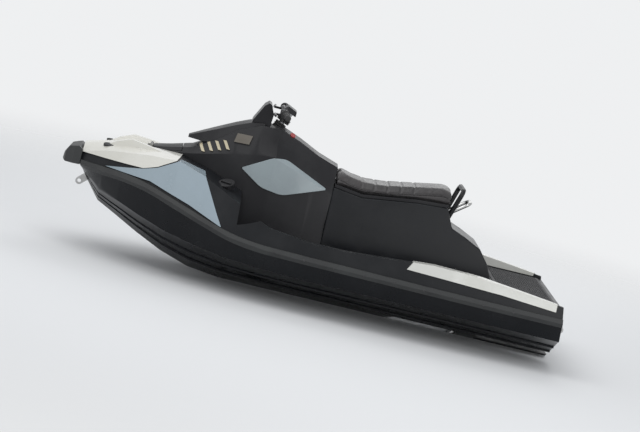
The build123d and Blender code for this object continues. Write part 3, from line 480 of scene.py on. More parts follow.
# %% Soften the mouldings
MOULD_EDGES = {
    "hull": 0.004, "deck": 0.004, "gunwale_left": 0.004, "gunwale_right": 0.004,
    "hood": 0.002, "fairing_left": 0.002, "fairing_right": 0.002,
    "rear_fender_left": 0.002, "rear_fender_right": 0.002,
    "console": 0.006, "deflector": 0.004, "side_panel_left": 0.002, "side_panel_right": 0.002,
    "bumper_rail": 0.005, "bow_bumper": 0.012, "seat_pedestal": 0.008, "seat_base": 0.003,
    "storage_lid": 0.003, "instrument_cluster": 0.005, "bar_pad": 0.004, "grab_handle": 0.002,
    "tow_loop": 0.001, "handlebar": 0.0005, "steering_stem": 0.002, "steering_head": 0.001,
    "brake_lever": 0.0015, "throttle_lever": 0.0015, "ride_plate": 0.003,
    "pump_housing": 0.0015, "venturi": 0.001, "steering_nozzle": 0.001, "reverse_bucket": 0.0015,
    "louvres_left": 0.001, "louvres_right": 0.001,
    "bow_eye": 0.002, "stern_eye_left": 0.002, "stern_eye_right": 0.002,
    "start_post": 0.0015, "fuel_cap": 0.003, "storage_bin": 0.001,
    "foredeck": 0.004, "bin_frame": 0.001,
}
node_body = {
    node: body
    for body, members in frame["record"]["behaviour"]["bodies"].items()
    for node in members
}
for node, width in MOULD_EDGES.items():
    piece = merged_copy(node)
    if "rear_fender" in node:
        trim(piece, FENDER_FRONT, FENDER_LEAN)
    if node == "hood":
        port_half_mirrored(piece)
    soften(piece, width)
    settle(piece, node + "_moulding", node_body[node], node_slot[node])
    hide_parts(node)
print("softened:", len(MOULD_EDGES))

# %% [markdown]
# ### Nodes that stay
# A few nodes are hidden, or so plain that their own shape is right, such as the impeller, the
# grate and the drain plugs. They keep their meshes and only need their finish. The loop gives one
# to every node, which is simpler than sorting out those that a softened copy stands for.
# %% Finishes on the frame's own nodes
for node, holder in frame["nodes"].items():
    holder.data.materials.clear()
    holder.data.materials.append(finishes[node_slot[node]])
print("finished nodes:", len(frame["nodes"]))

# %% [markdown]
# ## The seat
# The seat is foam under stretched vinyl, so no face of it is flat. It could be pushed about by
# hand, but a short cloth simulation with air pressure crowns it as evenly as real foam. It starts
# from the frame's cushion, a little smaller and narrower at the top, with even small faces. Each
# point may move only a few millimetres, so the seat keeps its length and its dip.
# %% Shrink and remesh the cushion
SEAT_INSET = (0.002, 0.006, 0.006)
SEAT_TAPER = 0.12
VOXEL = 0.006
EASE_FACTOR = 0.5
EASE_ROUNDS = 10
low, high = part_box("seat_cushion")
seat = merged_copy("seat_cushion")
seat_middle = (low + high) / 2
seat_size = high - low
keep = [1 - 2 * inset / length for inset, length in zip(SEAT_INSET, seat_size)]
for vertex in seat.data.vertices:
    offset = vertex.co - seat_middle
    rise = (vertex.co.z - low.z) / seat_size.z
    taper = 1 - SEAT_TAPER * rise
    vertex.co = seat_middle + Vector((offset.x * keep[0], offset.y * keep[1] * taper, offset.z * keep[2]))
remesh = seat.modifiers.new("even", "REMESH")
remesh.mode = "VOXEL"
remesh.voxel_size = VOXEL
ease = seat.modifiers.new("ease", "SMOOTH")
ease.factor = EASE_FACTOR
ease.iterations = EASE_ROUNDS
apply_modifiers(seat)
print("seat points before swelling:", len(seat.data.vertices))

# %% Swell the seat
SWELL_CAP = 0.009
PRESSURE = 4.0
LAST_MOMENT = 20
TINY = 1e-9


def swell(piece):
    """Blow a piece up as a cloth bag, each point by no more than the cap."""
    still = [vertex.co.copy() for vertex in piece.data.vertices]
    cloth = piece.modifiers.new("swell", "CLOTH")
    cloth.settings.use_pressure = True
    cloth.settings.uniform_pressure_force = PRESSURE
    cloth.settings.effector_weights.gravity = 0
    for moment in range(1, LAST_MOMENT + 1):
        bpy.context.scene.frame_set(moment)
    swollen = piece.evaluated_get(bpy.context.evaluated_depsgraph_get()).data
    moved = [vertex.co.copy() for vertex in swollen.vertices]
    piece.modifiers.clear()
    for vertex, start, end in zip(piece.data.vertices, still, moved):
        step = end - start
        vertex.co = start + step * min(1, SWELL_CAP / max(step.length, TINY))
    bpy.context.scene.frame_set(1)


swell(seat)
print("seat length:", round(seat.dimensions.x, 3))

# %% [markdown]
# ### Seams
# Cross seams hold the vinyl down on the seat's rear half, and one long seam runs round under the
# top. They come after the swelling, which would have pulled them flat. Each point near a seam sinks
# along its own normal, by a rounded groove that depends only on its distance from the seam.
# %% Sew the seat
SEAM_HALF = 0.010
SEAM_DEPTH = 0.0035
SEAM_DROP = 0.045
CROSS_SEAMS = [1.585, 1.655, 1.725, 1.795, 1.865]
COLUMN = 0.01


def groove(distance):
    """How far a point sinks beside a seam."""
    return SEAM_DEPTH * max(0, 1 - (distance / SEAM_HALF) ** 2) ** 2


finer = seat.modifiers.new("finer", "SUBSURF")
finer.levels = 1
finer.render_levels = 1
apply_modifiers(seat)
top_of_seat = {}
for vertex in seat.data.vertices:
    column = round(vertex.co.x / COLUMN)
    top_of_seat[column] = max(top_of_seat.get(column, -1), vertex.co.z)
outward_at = [vertex.normal.copy() for vertex in seat.data.vertices]
seam_x = [place(aft, 0, 0).x for aft in CROSS_SEAMS]
for vertex, outward_here in zip(seat.data.vertices, outward_at):
    across = min(abs(vertex.co.x - x) for x in seam_x)
    below_top = top_of_seat[round(vertex.co.x / COLUMN)] - vertex.co.z
    sunk = groove(abs(below_top - SEAM_DROP))
    if below_top < SEAM_DROP:
        sunk = max(sunk, groove(across))
    vertex.co -= outward_here * sunk
select_only(seat)
bpy.ops.object.shade_smooth()
settle(seat, "seat_cover", "hull", "seat_vinyl")
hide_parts("seat_cushion")
print("seat points:", len(seat.data.vertices))


# %% [markdown]
# ### Piping
# A cord is sewn into the long side seam. Its line could be drawn beside the seat, but it would
# float or sink where the vinyl swells. A ray is sent in from each side at the seam's height
# instead, and the cord is a smooth curve through the points that it meets.
# %% Rays and round cords
CORD_BEVEL = 3


def hit(piece, start, direction):
    """The point and the normal where a ray first meets a piece."""
    found, point, normal, _ = piece.ray_cast(Vector(start), Vector(direction))
    return (point, normal) if found else (None, None)


def tube(name, points, radius, body, slot):
    """A smooth round cord through points, with closed ends."""
    data = bpy.data.curves.new(name, "CURVE")
    data.dimensions = "3D"
    data.bevel_depth = radius
    data.bevel_resolution = CORD_BEVEL
    data.use_fill_caps = True
    spline = data.splines.new("NURBS")
    spline.points.add(len(points) - 1)
    for control, point in zip(spline.points, points):
        control.co = (*point, 1)
    spline.order_u = 3
    spline.use_endpoint_u = True
    select_only(new_piece(name, data))
    bpy.ops.object.convert(target="MESH")
    bpy.ops.object.shade_smooth()
    return settle(bpy.context.object, name, body, slot)


# %% Piping along the side seam
PIPING_R = 0.0028
PIPING_FROM = 1.47
PIPING_TO = 2.05
PIPING_POINTS = 30
BESIDE_SEAT = 0.4
for side, word in SIDES:
    line = []
    for k in range(PIPING_POINTS):
        aft = PIPING_FROM + (PIPING_TO - PIPING_FROM) * k / (PIPING_POINTS - 1)
        x = place(aft, 0, 0).x
        z = top_of_seat[round(x / COLUMN)] - SEAM_DROP
        point, _ = hit(seat, (x, side * BESIDE_SEAT, z), (0, -side, 0))
        if point:
            line.append(point)
    tube(f"seat_piping_{word}", line, PIPING_R, "hull", "seat_vinyl")
    print("piping", word, len(line), "points")

# %% [markdown]
# ## Traction mats
# Foam mats are cut with a diamond tread. A bump in the material would look flat at a low angle, and
# modelling every diamond would take hours. One flat diamond is a four-sided cone with its tip cut
# off, and array modifiers repeat it over the mat in two staggered sets.
# %% One set of diamonds
MAT_MARGIN = 0.012
DIAMOND_LONG, DIAMOND_WIDE, DIAMOND_HIGH = 0.026, 0.016, 0.0018
DIAMOND_SHARE = 0.86
DIAMOND_TOP = 0.36


def diamond_set(low, high, shift):
    """Diamonds in rows over a mat's box, shifted by a share of their pitch."""
    first_x = low.x + MAT_MARGIN + DIAMOND_LONG * (0.5 + shift)
    first_y = low.y + MAT_MARGIN + DIAMOND_WIDE * (0.5 + shift)
    clear_selection()
    bpy.ops.mesh.primitive_cone_add(
        vertices=4, radius1=0.5, radius2=DIAMOND_TOP, depth=1, end_fill_type="TRIFAN"
    )
    diamond = bpy.context.object
    diamond.scale = (DIAMOND_LONG * DIAMOND_SHARE, DIAMOND_WIDE * DIAMOND_SHARE, DIAMOND_HIGH * 2)
    diamond.location = (first_x, first_y, high.z)
    apply_place(diamond)
    across = high - low - Vector((2 * MAT_MARGIN, 2 * MAT_MARGIN, 0))
    for axis, pitch, length in ((0, DIAMOND_LONG, across.x), (1, DIAMOND_WIDE, across.y)):
        array = diamond.modifiers.new("repeat", "ARRAY")
        array.use_relative_offset = False
        array.use_constant_offset = True
        offset = [0, 0, 0]
        offset[axis] = pitch
        array.constant_offset_displace = offset
        array.count = int(length / pitch - shift)
    apply_modifiers(diamond)
    return diamond


# %% Treads on the mats
MAT_EDGE = 0.0015
for node in ("footwell_mat_left", "footwell_mat_right", "rear_deck_mat"):
    low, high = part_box(node)
    base = merged_copy(node)
    soften(base, MAT_EDGE)
    sets = [diamond_set(low, high, shift) for shift in (0, 0.5)]
    mat = settle(joined([base, *sets]), node + "_tread", "hull", "mat_black")
    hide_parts(node)
    print(mat.name, len(mat.data.polygons))

# %% [markdown]
# ## Handlebar grips
# A grip is a rubber sleeve with rings, a flange that stops the thumb and a rounded end. It could be
# stacked from tori, but one profile spun round the bar gives a closed skin with no seams, and its
# list of radii reads like a drawing. The grips ride on the handlebar's body, so they steer with it.
# %% Pieces turned round an axis
TURNED_WELD = 0.00001
TURNED_SMOOTH = radians(40)


def turned(profile, sides=32):
    """A round piece along Z, spun from a profile of radius and height pairs."""
    mesh = bpy.data.meshes.new("turned")
    links = [(k, k + 1) for k in range(len(profile) - 1)]
    mesh.from_pydata([(radius, 0, z) for radius, z in profile], links, [])
    piece = new_piece("turned", mesh)
    select_only(piece)
    bpy.ops.object.mode_set(mode="EDIT")
    bpy.ops.mesh.select_all(action="SELECT")
    bpy.ops.mesh.spin(steps=sides, angle=2 * pi, center=(0, 0, 0), axis=(0, 0, 1))
    bpy.ops.mesh.select_all(action="SELECT")
    bpy.ops.mesh.remove_doubles(threshold=TURNED_WELD)
    bpy.ops.mesh.normals_make_consistent(inside=False)
    bpy.ops.object.mode_set(mode="OBJECT")
    bpy.ops.object.shade_smooth_by_angle(angle=TURNED_SMOOTH)
    return piece


def point_along(piece, origin, direction):
    """Move a piece made along Z so that it starts at a point and follows a direction."""
    turn = Vector(direction).to_track_quat("Z", "Y").to_matrix().to_4x4()
    piece.matrix_world = Matrix.Translation(origin) @ turn


# %% Grips
BAR_TIP = (1.112, 0.345, 0.955)
BAR_BEND = (1.085, 0.150, 0.968)
GRIP_R = 0.0165
BORE_R = 0.0112
RINGS = 17
RING_STEP = 0.006
RING_DEPTH = 0.0018
FLANGE_R = 0.024
GRIP_INSET = 0.001


def along_bar(side):
    """The bar's end and its direction inwards, on one side."""
    tip_aft, tip_y, tip_h = BAR_TIP
    bend_aft, bend_y, bend_h = BAR_BEND
    tip = place(tip_aft, side * tip_y, tip_h)
    bend = place(bend_aft, side * bend_y, bend_h)
    return tip, (bend - tip).normalized()


sleeve = [(0.0, -0.007), (0.010, -0.007), (0.0150, -0.005), (GRIP_R, -0.001)]
for k in range(RINGS):
    start = k * RING_STEP
    sleeve += [(GRIP_R, start), (GRIP_R, start + 0.0035)]
    sleeve += [(GRIP_R - RING_DEPTH, start + 0.0042), (GRIP_R - RING_DEPTH, start + 0.0054)]
sleeve_end = RINGS * RING_STEP
sleeve += [(GRIP_R, sleeve_end), (FLANGE_R, sleeve_end + 0.004), (FLANGE_R, sleeve_end + 0.008)]
sleeve += [(0.018, sleeve_end + 0.011), (BORE_R, sleeve_end + 0.011), (BORE_R, -0.002), (0.0, -0.002)]
for side, word in SIDES:
    grip = turned(sleeve)
    tip, inward = along_bar(side)
    point_along(grip, tip + inward * GRIP_INSET, inward)
    settle(grip, f"grip_rubber_{word}", "handlebar", "grip_rubber")
    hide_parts(f"grip_{word}")
print("grip length:", round(sleeve_end, 3))

# %% [markdown]
# ## Switch pod
# A small block beside the left grip holds the stop and start buttons. It is a cube with widely
# rounded edges, and the buttons are turned. They lean towards the seat, where a thumb finds them.
# %% Blocks with softened edges
def small_block(size, middle, round_by=0.001, segments=2):
    """A box with softened edges."""
    clear_selection()
    bpy.ops.mesh.primitive_cube_add(size=1, location=middle)
    piece = bpy.context.object
    piece.scale = size
    apply_place(piece)
    round_edges(piece, round_by, segments)
    return piece


# %% Switch pod with its two buttons
POD_FROM_TIP = 0.160
POD_SIZE = (0.040, 0.036, 0.034)
POD_ROUND = 0.009
POD_SMOOTH = radians(50)
BUTTON = [(0.0, 0.0), (0.0055, 0.0), (0.0055, 0.003), (0.0045, 0.0042), (0.0, 0.0046)]
BUTTON_SPACING = 0.009
BUTTON_SEAT = Vector((-0.0165, 0, 0.009))
BUTTON_LEAN = (-0.86, 0, 0.5)
tip, inward = along_bar(1)
pod_at = tip + inward * POD_FROM_TIP
pod = small_block(POD_SIZE, (0, 0, 0), POD_ROUND, 4)
bpy.ops.object.shade_smooth_by_angle(angle=POD_SMOOTH)
point_along(pod, pod_at, inward)
settle(pod, "switch_pod", "handlebar", "console_black")
for k, slot in ((-1, "red_plastic"), (1, "louvre_beige")):
    button = turned(BUTTON, 20)
    point_along(button, pod_at + inward * BUTTON_SPACING * k + BUTTON_SEAT, BUTTON_LEAN)
    settle(button, f"pod_button_{k + 2}", "handlebar", slot)
print("pod at", [round(value, 3) for value in pod_at])

# %% [markdown]
# ## Instruments
# The display is dark glass that leans towards the seat, with a round scale and a few generic
# figures. They could be an image, but plain geometry stays sharp at any distance. All of it is made
# flat, in the dial's own plane, and one matrix lays it on the glass. Text is turned into a mesh
# before it is placed, so that its place ends up in the mesh.
# %% The dial's plane
DIAL_CENTRE = place(1.0301, 0, 0.9580)
DIAL_OUT = Vector((-0.919, 0, 0.394)).normalized()
DIAL_UP = Vector((0.394, 0, 0.919)).normalized()
DIAL_SIDE = DIAL_UP.cross(DIAL_OUT)
dial_frame = Matrix((DIAL_SIDE, DIAL_UP, DIAL_OUT)).transposed().to_4x4()
dial_place = Matrix.Translation(DIAL_CENTRE) @ dial_frame
OVER_GLASS = 0.0006
figure_material = finish("figure_white", (0.62, 0.66, 0.66), (0.56, 0.60, 0.60), (0.4, 0.5), None, 8.0)


def settle_on_dial(piece, name):
    """A pale piece on the glass."""
    settle(piece, name, "hull", "screen")
    piece.data.materials[0] = figure_material


# %% Marks of the round scale
SCALE_X = -0.022
MARK_RING = 0.0165
MARK_COUNT = 11
LONG_EVERY = 5
FIRST_MARK, MARK_TURN = 210, 24
LONG_MARK, SHORT_MARK, MARK_WIDE, MARK_THICK = 0.0045, 0.0028, 0.0008, 0.0005
marks = []
for k in range(MARK_COUNT):
    turn = radians(FIRST_MARK - MARK_TURN * k)
    clear_selection()
    bpy.ops.mesh.primitive_cube_add(size=1)
    mark = bpy.context.object
    mark_long = LONG_MARK if k % LONG_EVERY == 0 else SHORT_MARK
    mark.matrix_world = (
        dial_place
        @ Matrix.Translation((MARK_RING * cos(turn) + SCALE_X, MARK_RING * sin(turn), OVER_GLASS))
        @ Matrix.Rotation(turn, 4, "Z")
        @ Matrix.Diagonal((mark_long, MARK_WIDE, MARK_THICK, 1))
    )
    marks.append(mark)
settle_on_dial(joined(marks), "dial_marks")
print("dial marks:", len(marks))

# %% Figures
FIGURE_THICK = 0.0002
FIGURES = (
    ("dial_speed", "0", 0.014, (SCALE_X, 0)),
    ("dial_hours", "00.0", 0.008, (0.028, 0.006)),
    ("dial_fuel", "1/2", 0.007, (0.028, -0.008)),
)
for name, words, size, spot in FIGURES:
    clear_selection()
    bpy.ops.object.text_add()
    text = bpy.context.object
    text.data.body = words
    text.data.size = size
    text.data.align_x = "CENTER"
    text.data.align_y = "CENTER"
    text.data.extrude = FIGURE_THICK
    bpy.ops.object.convert(target="MESH")
    text = bpy.context.object
    text.matrix_world = dial_place @ Matrix.Translation((*spot, OVER_GLASS))
    settle_on_dial(text, name)
print("dial at", [round(value, 3) for value in DIAL_CENTRE])

# %% [markdown]
# ## Screws along the bumper rail
# Small black screws hold the rubber rail to the bond flange between hull and deck. The rail curves
# in plan and rises to the bow, so typed places would miss it. Rays sent in from the side at the
# bond line's height find the rubber, and each head is laid on it, facing outwards.
# %% Screws
BOND_LINE = [(-0.03, 0.440), (0.43, 0.452), (1.01, 0.284), (2.83, 0.272)]
FIRST_SCREW = 1.20
SCREW_PITCH = 0.16
SCREWS_A_SIDE = 9
BESIDE_HULL = 0.9
SCREW_HEAD = [(0.0, 0.0024), (0.0022, 0.0024), (0.0024, 0.0014), (0.0030, 0.0014), (0.0045, 0.0020),
              (0.0062, 0.0008), (0.0064, -0.001), (0.0, -0.001)]


def bond_height(aft):
    """The bond line's height at a station."""
    spans = zip(BOND_LINE, BOND_LINE[1:])
    (a, h_a), (b, h_b) = next(span for span in spans if aft <= span[1][0])
    return h_a + (h_b - h_a) * (aft - a) / (b - a)


rail = bpy.data.objects["bumper_rail_moulding"]
screws = []
for side, _ in SIDES:
    for k in range(SCREWS_A_SIDE):
        aft = FIRST_SCREW + SCREW_PITCH * k
        point, normal = hit(rail, place(aft, side * BESIDE_HULL, bond_height(aft)), (0, -side, 0))
        if not point:
            continue
        head = turned(SCREW_HEAD, 16)
        point_along(head, point, normal)
        screws.append(head)
settle(joined(screws), "rail_screws", "hull", "bar_black")
print("rail screws:", len(screws))

# %% [markdown]
# ## Steering boot
# The stem rises through a pleated rubber boot. One boot for the whole stem would have to twist when
# the bar turns. It is made in two halves instead, with a small gap: the lower half stays with the
# console and the upper half turns with the bar. Both are spun from one zigzag profile.
# %% Boot in two halves
STEM_RAKE = radians(25)
STEM_DIR = Vector((-sin(STEM_RAKE), 0, cos(STEM_RAKE)))
BAR_MIDDLE = place(1.115, 0, 0.945)
LOWER_BOOT = (-0.100, -0.054, 0.026)
UPPER_BOOT = (-0.046, -0.020, 0.031)
BOOT_LIP = 0.002
PLEATS = 4
PLEAT_OUT = 0.007
PLEAT_IN = 0.003
PLEAT_CREST = (0.35, 0.65)


def boot(name, low, high, inner, body):
    """A pleated sleeve round the stem, from its two ends along it and its inner radius."""
    step = (high - low) / PLEATS
    profile = [(inner, low), (inner + BOOT_LIP, low)]
    for k in range(PLEATS):
        start = low + step * k
        profile += [(inner + PLEAT_OUT, start + step * share) for share in PLEAT_CREST]
        profile += [(inner + PLEAT_IN, start + step)]
    profile += [(inner, high), (inner, low)]
    sleeve = turned(profile, 40)
    point_along(sleeve, BAR_MIDDLE, STEM_DIR)
    return settle(sleeve, name, body, "grip_rubber")


lower = boot("stem_boot_lower", *LOWER_BOOT, "hull")
upper = boot("stem_boot_upper", *UPPER_BOOT, "handlebar")
print("boot faces:", len(lower.data.polygons), len(upper.data.polygons))

# %% [markdown]
# ## Lever cables
# A cable leaves each lever and runs under the bar to the stem. It is held at both ends, so it is no
# free cord. Five points are enough: out of the lever, along the bar, two that sag, and the foot.
# %% Cables under the bar
CABLE_R = 0.0035
CABLE_START = 0.142
CABLE_LEAD = 0.02
CABLE_BELOW = Vector((0.004, 0, -0.018))
CABLE_SAG = Vector((0.006, 0, -0.022))
SAG_SHARES = (0.35, 0.75)
FOOT_ALONG = -0.022
FOOT_X, FOOT_Y = 0.004, 0.026
for side, word in SIDES:
    tip, inward = along_bar(side)
    start = tip + inward * CABLE_START + CABLE_BELOW
    foot = BAR_MIDDLE + STEM_DIR * FOOT_ALONG + Vector((FOOT_X, side * FOOT_Y, 0))
    sagging = [start.lerp(foot, share) + CABLE_SAG for share in SAG_SHARES]
    line = [start, start + inward * CABLE_LEAD, *sagging, foot]
    tube(f"lever_cable_{word}", line, CABLE_R, "handlebar", "grip_rubber")
    print("cable", word, round((foot - start).length, 3), "between its ends")

# %% [markdown]
# ## Fuel cap
# The fuel cap is gripped by a ring of ribs and a bar across it. An array modifier could turn the
# rib, but it needs a helper object. A rib is simply copied round the Z axis, and the whole is then
# laid along the cap's slanted axis, which also suits the pump's bolts below.
# %% Ribs and bar on the fuel cap
CAP_AT = place(0.885, 0.330, 0.528)
CAP_OUT = (0.25, 0.35, 0.9)
CAP_RIBS = 28
RIB_SIZE = (0.003, 0.005, 0.018)
RIB_AT = (0.0440, 0, 0.014)
CAP_BAR_SIZE = (0.064, 0.016, 0.009)
CAP_BAR_AT = (0, 0, 0.029)
CAP_BAR_ROUND = 0.004


def ring_of(piece, count):
    """Copies of a piece set round the Z axis, joined into one."""
    copies = [piece]
    for k in range(1, count):
        twin = new_piece("twin", piece.data.copy())
        twin.rotation_euler.z = 2 * pi * k / count
        copies.append(twin)
    return joined(copies)


cap_ribs = ring_of(small_block(RIB_SIZE, RIB_AT), CAP_RIBS)
cap_grip = joined([cap_ribs, small_block(CAP_BAR_SIZE, CAP_BAR_AT, CAP_BAR_ROUND)])
point_along(cap_grip, CAP_AT, CAP_OUT)
settle(cap_grip, "fuel_cap_grip", "hull", "console_black")
print("cap ribs:", CAP_RIBS)

# %% [markdown]
# ## Bolts, nuts and plugs at the stern
# Eight bolts hold the pump to its flange, a nut closes each pin of the bucket, and a small bar
# across each drain plug lets fingers turn it. A bolt head is a cylinder with six sides, which is
# already its real form.
# %% Bolts round the pump's flange
JET_HEIGHT = 0.115
FLANGE_BACK = 2.392
FLANGE_BOLTS = 8
BOLT_CIRCLE = 0.0875
BOLT_R = 0.0042
HEAD_HIGH = 0.004


def hex_head(radius, middle):
    """A six-sided head along Z."""
    clear_selection()
    bpy.ops.mesh.primitive_cylinder_add(vertices=6, radius=radius, depth=HEAD_HIGH, location=middle)
    apply_place(bpy.context.object)
    return bpy.context.object


flange_bolts = ring_of(hex_head(BOLT_R, (BOLT_CIRCLE, 0, HEAD_HIGH / 2)), FLANGE_BOLTS)
point_along(flange_bolts, place(FLANGE_BACK, 0, JET_HEIGHT), (-1, 0, 0))
settle(flange_bolts, "flange_bolts", "hull", "stainless")
print("flange bolts:", FLANGE_BOLTS)

# %% Nuts on the bucket's pins and bars on the drain plugs
PIN_AFT, PIN_END_Y = 2.544, 0.102
NUT_R = 0.0095
NUT_OUT = 0.006
DRAIN_AFT, DRAIN_Y, DRAIN_H = 2.783, 0.230, 0.130
DRAIN_BAR_SIZE = (0.006, 0.024, 0.006)
for side, word in SIDES:
    nut = hex_head(NUT_R, (0, 0, NUT_OUT))
    point_along(nut, place(PIN_AFT, side * PIN_END_Y, JET_HEIGHT), (0, side, 0))
    settle(nut, f"pin_nut_{word}", "hull", "stainless")
    grip_bar = small_block(DRAIN_BAR_SIZE, place(DRAIN_AFT, side * DRAIN_Y, DRAIN_H))
    settle(grip_bar, f"plug_grip_{word}", "hull", "console_black")
print("plug bars at y =", DRAIN_Y)

# %% [markdown]
# ## Tie-down plugs on the hood
# A dark oval sits high on each side of the hood, just behind the bumper. It is a rubber plug over a
# tie-down point. A painted spot would vanish from the side, so it is a short cylinder, stretched to
# an oval, rounded, tilted with the hood and set down where a ray from above meets the paint.
# %% Plugs on the hood
PLUG_SIZE = (0.056, 0.036, 0.016)
PLUG_ROUND = 0.003
PLUG_TILT = radians(22)
PLUG_AFT, PLUG_Y = 0.228, 0.124
PLUG_SIDES = 40
OVERHEAD = 0.9
hood = bpy.data.objects["hood_moulding"]
for side, word in SIDES:
    point, _ = hit(hood, place(PLUG_AFT, side * PLUG_Y, OVERHEAD), (0, 0, -1))
    clear_selection()
    bpy.ops.mesh.primitive_cylinder_add(vertices=PLUG_SIDES, radius=0.5, depth=1)
    plug = bpy.context.object
    plug.scale = PLUG_SIZE
    apply_place(plug)
    round_edges(plug, PLUG_ROUND, 3)
    bpy.ops.object.shade_smooth_by_angle(angle=CORNER)
    plug.rotation_euler.x = -side * PLUG_TILT
    plug.location = point
    settle(plug, f"tie_down_plug_{word}", "hull", "rail_black")
    print("plug", word, "at", [round(value, 3) for value in point])

# %% [markdown]
# ## Linings of the rear fenders
# The photo shows the far fender's inner face, which is as pale as its outside, while the frame's
# gunwale is black there. A thin lining covers the gunwale's inner wall. Its shape has to match the
# fender beside it, so rays from overhead find the fender's top and the lining's upper edge follows
# it, while its lower edge stays just over the deck.
# %% Linings
LINING_Y = 0.5125
LINING_THICK = 0.007
LINING_EDGE = 0.002
LINING_FROM = 1.93
LINING_TO = 2.69
LINING_POINTS = 16
FENDER_MIDDLE_Y = 0.522
LINING_FOOT = ((2.69, 0.345), (2.335, 0.345), (2.24, 0.309), (1.96, 0.309))
for side, word in SIDES:
    fender = bpy.data.objects[f"rear_fender_{word}_moulding"]
    upper_edge = []
    for k in range(LINING_POINTS):
        aft = LINING_FROM + (LINING_TO - LINING_FROM) * k / (LINING_POINTS - 1)
        point, _ = hit(fender, place(aft, side * FENDER_MIDDLE_Y, OVERHEAD), (0, 0, -1))
        if point:
            upper_edge.append((point.x, side * LINING_Y, point.z))
    corners = upper_edge + [tuple(place(aft, side * LINING_Y, h)) for aft, h in LINING_FOOT]
    mesh = bpy.data.meshes.new("lining")
    mesh.from_pydata(corners, [], [tuple(range(len(corners)))])
    lining = new_piece("lining", mesh)
    thicken = lining.modifiers.new("thicken", "SOLIDIFY")
    thicken.thickness = LINING_THICK
    thicken.offset = 0
    round_edges(lining, LINING_EDGE, 2)
    settle(lining, f"fender_lining_{word}", "hull", "fender_white")
    print("lining", word, len(corners), "corners")

# %% [markdown]
# ## Floor
# The craft stands with its keel just over a plain pale floor. A floor with an edge would draw a
# horizon, so it fades into the backdrop with distance. Seen from below it would hide the hull, so
# its back face is clear as well, and the larger of the two masks wins.
# %% Floor
KEEL_CLEARANCE = 0.004
FLOOR_Z = -DRAFT - KEEL_CLEARANCE
FLOOR_SIZE = 60
clear_selection()
bpy.ops.mesh.primitive_plane_add(size=FLOOR_SIZE, location=(0, 0, FLOOR_Z))
floor = bpy.context.object
floor.name = "floor"
print("floor at z =", FLOOR_Z)

# %% The floor's finish and how it fades
FLOOR_COLOUR = (0.80, 0.81, 0.82, 1)
FLOOR_ROUGH = 0.9
FADE_FROM = 2.0
FADE_TO = 6.5


def mixed_shader(tree, factor, first, second, target):
    """Blend two shaders' outputs into a target socket."""
    node = tree.nodes.new("ShaderNodeMixShader")
    tree.links.new(factor, node.inputs["Fac"])
    tree.links.new(first, node.inputs[1])
    tree.links.new(second, node.inputs[2])
    tree.links.new(node.outputs["Shader"], target)


floor_material = bpy.data.materials.new("floor_pale")
floor_material.use_nodes = True
tree = floor_material.node_tree
matt = tree.nodes["Principled BSDF"]
matt.inputs["Base Color"].default_value = FLOOR_COLOUR
matt.inputs["Roughness"].default_value = FLOOR_ROUGH
spot = tree.nodes.new("ShaderNodeTexCoord")
reach = tree.nodes.new("ShaderNodeVectorMath")
reach.operation = "LENGTH"
tree.links.new(spot.outputs["Object"], reach.inputs[0])
gone = tree.nodes.new("ShaderNodeBsdfTransparent")
from_below = tree.nodes.new("ShaderNodeNewGeometry").outputs["Backfacing"]
far_off = ramp(tree, reach.outputs["Value"], FADE_FROM, FADE_TO)
unseen = calculated(tree, "MAXIMUM", far_off, from_below)
surface = tree.nodes["Material Output"].inputs["Surface"]
mixed_shader(tree, unseen, matt.outputs["BSDF"], gone.outputs["BSDF"], surface)
floor.data.materials.append(floor_material)
print("floor fades from", FADE_FROM, "to", FADE_TO, "m")

# %% [markdown]
# ## Backdrop
# The backdrop should be pale, but a bright world would wash the black hull out. The world has two
# colours instead: a modest light for the object, and a pale one that the camera sees. Metal and
# glass should mirror the same pale room, so glossy and transmitted rays see it too.
# %% Backdrop
SKY_LIGHT = (0.95, 0.97, 1.0, 1)
SKY_STRENGTH = 0.55
PALE = (0.86, 0.87, 0.88, 1)
world = bpy.data.worlds.new("sky")
bpy.context.scene.world = world
world.use_nodes = True
tree = world.node_tree
light = tree.nodes["Background"]
light.inputs["Color"].default_value = SKY_LIGHT
light.inputs["Strength"].default_value = SKY_STRENGTH
seen = tree.nodes.new("ShaderNodeBackground")
seen.inputs["Color"].default_value = PALE
path = tree.nodes.new("ShaderNodeLightPath")
shown = path.outputs["Is Camera Ray"]
for ray in ("Is Glossy Ray", "Is Transmission Ray"):
    shown = calculated(tree, "MAXIMUM", shown, path.outputs[ray])
surface = tree.nodes["World Output"].inputs["Surface"]
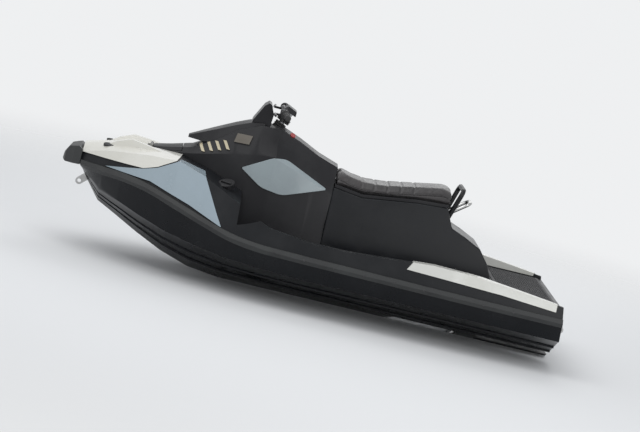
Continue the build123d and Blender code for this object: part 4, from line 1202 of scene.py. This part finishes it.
mixed_shader(tree, shown, light.outputs["Background"], seen.outputs["Background"], surface)
print("backdrop colour:", PALE[:3])

# %% [markdown]
# ## Lamps
# Small lamps would make hard shadows and burnt spots on the white hood, so all three are large
# squares. The key hangs high over the bow and lights the hood and the fenders, the fill is wide and
# on the port side, and the third rims the craft from behind. Their power is as low as keeps the
# pale paint from clipping.
# %% Lamps
LAMPS = [
    ("key", (1.8, 1.4, 4.4), (0.3, 0, 0.2), 3.6, 84),
    ("fill", (-2.6, 4.6, 1.9), (-0.2, 0, 0.2), 3.0, 52),
    ("rim", (-1.0, -3.6, 3.4), (0, 0, 0.3), 3.2, 62),
]
for name, position, aim, size, power in LAMPS:
    lamp = bpy.data.lights.new(name, "AREA")
    lamp.size = size
    lamp.energy = power
    holder = new_piece(name, lamp)
    holder.location = position
    holder.rotation_euler = (Vector(aim) - Vector(position)).to_track_quat("-Z", "Y").to_euler()
    print("lamp", name, power, "W")

# %% [markdown]
# ## Camera
# The photo was taken from far off on the port side, so a long lens at a long distance keeps the
# same flat perspective. The bow points up there. Turning the craft would break its frame, so the
# camera leans instead, by a roll about its own line of sight.
# %% Camera
VIEW_DISTANCE = 13.0
VIEW_TURN = radians(3)
VIEW_HEIGHT = radians(7)
BOW_UP = radians(14)
VIEW_WIDTH = 3.45
VIEW_MIDDLE = Vector((-0.02, 0, 0.27))
level = cos(VIEW_HEIGHT)
outward = Vector((sin(VIEW_TURN) * level, cos(VIEW_TURN) * level, sin(VIEW_HEIGHT)))
lens = bpy.data.cameras.new("camera")
lens.lens = lens.sensor_width * VIEW_DISTANCE / VIEW_WIDTH
camera = new_piece("camera", lens)
facing = (-outward).to_track_quat("-Z", "Y").to_matrix().to_4x4()
stand = Matrix.Translation(VIEW_MIDDLE + outward * VIEW_DISTANCE)
camera.matrix_world = stand @ facing @ Matrix.Rotation(BOW_UP, 4, "Z")
bpy.context.scene.camera = camera
bpy.context.scene.view_settings.view_transform = "Standard"
print("lens:", round(lens.lens, 1), "mm")
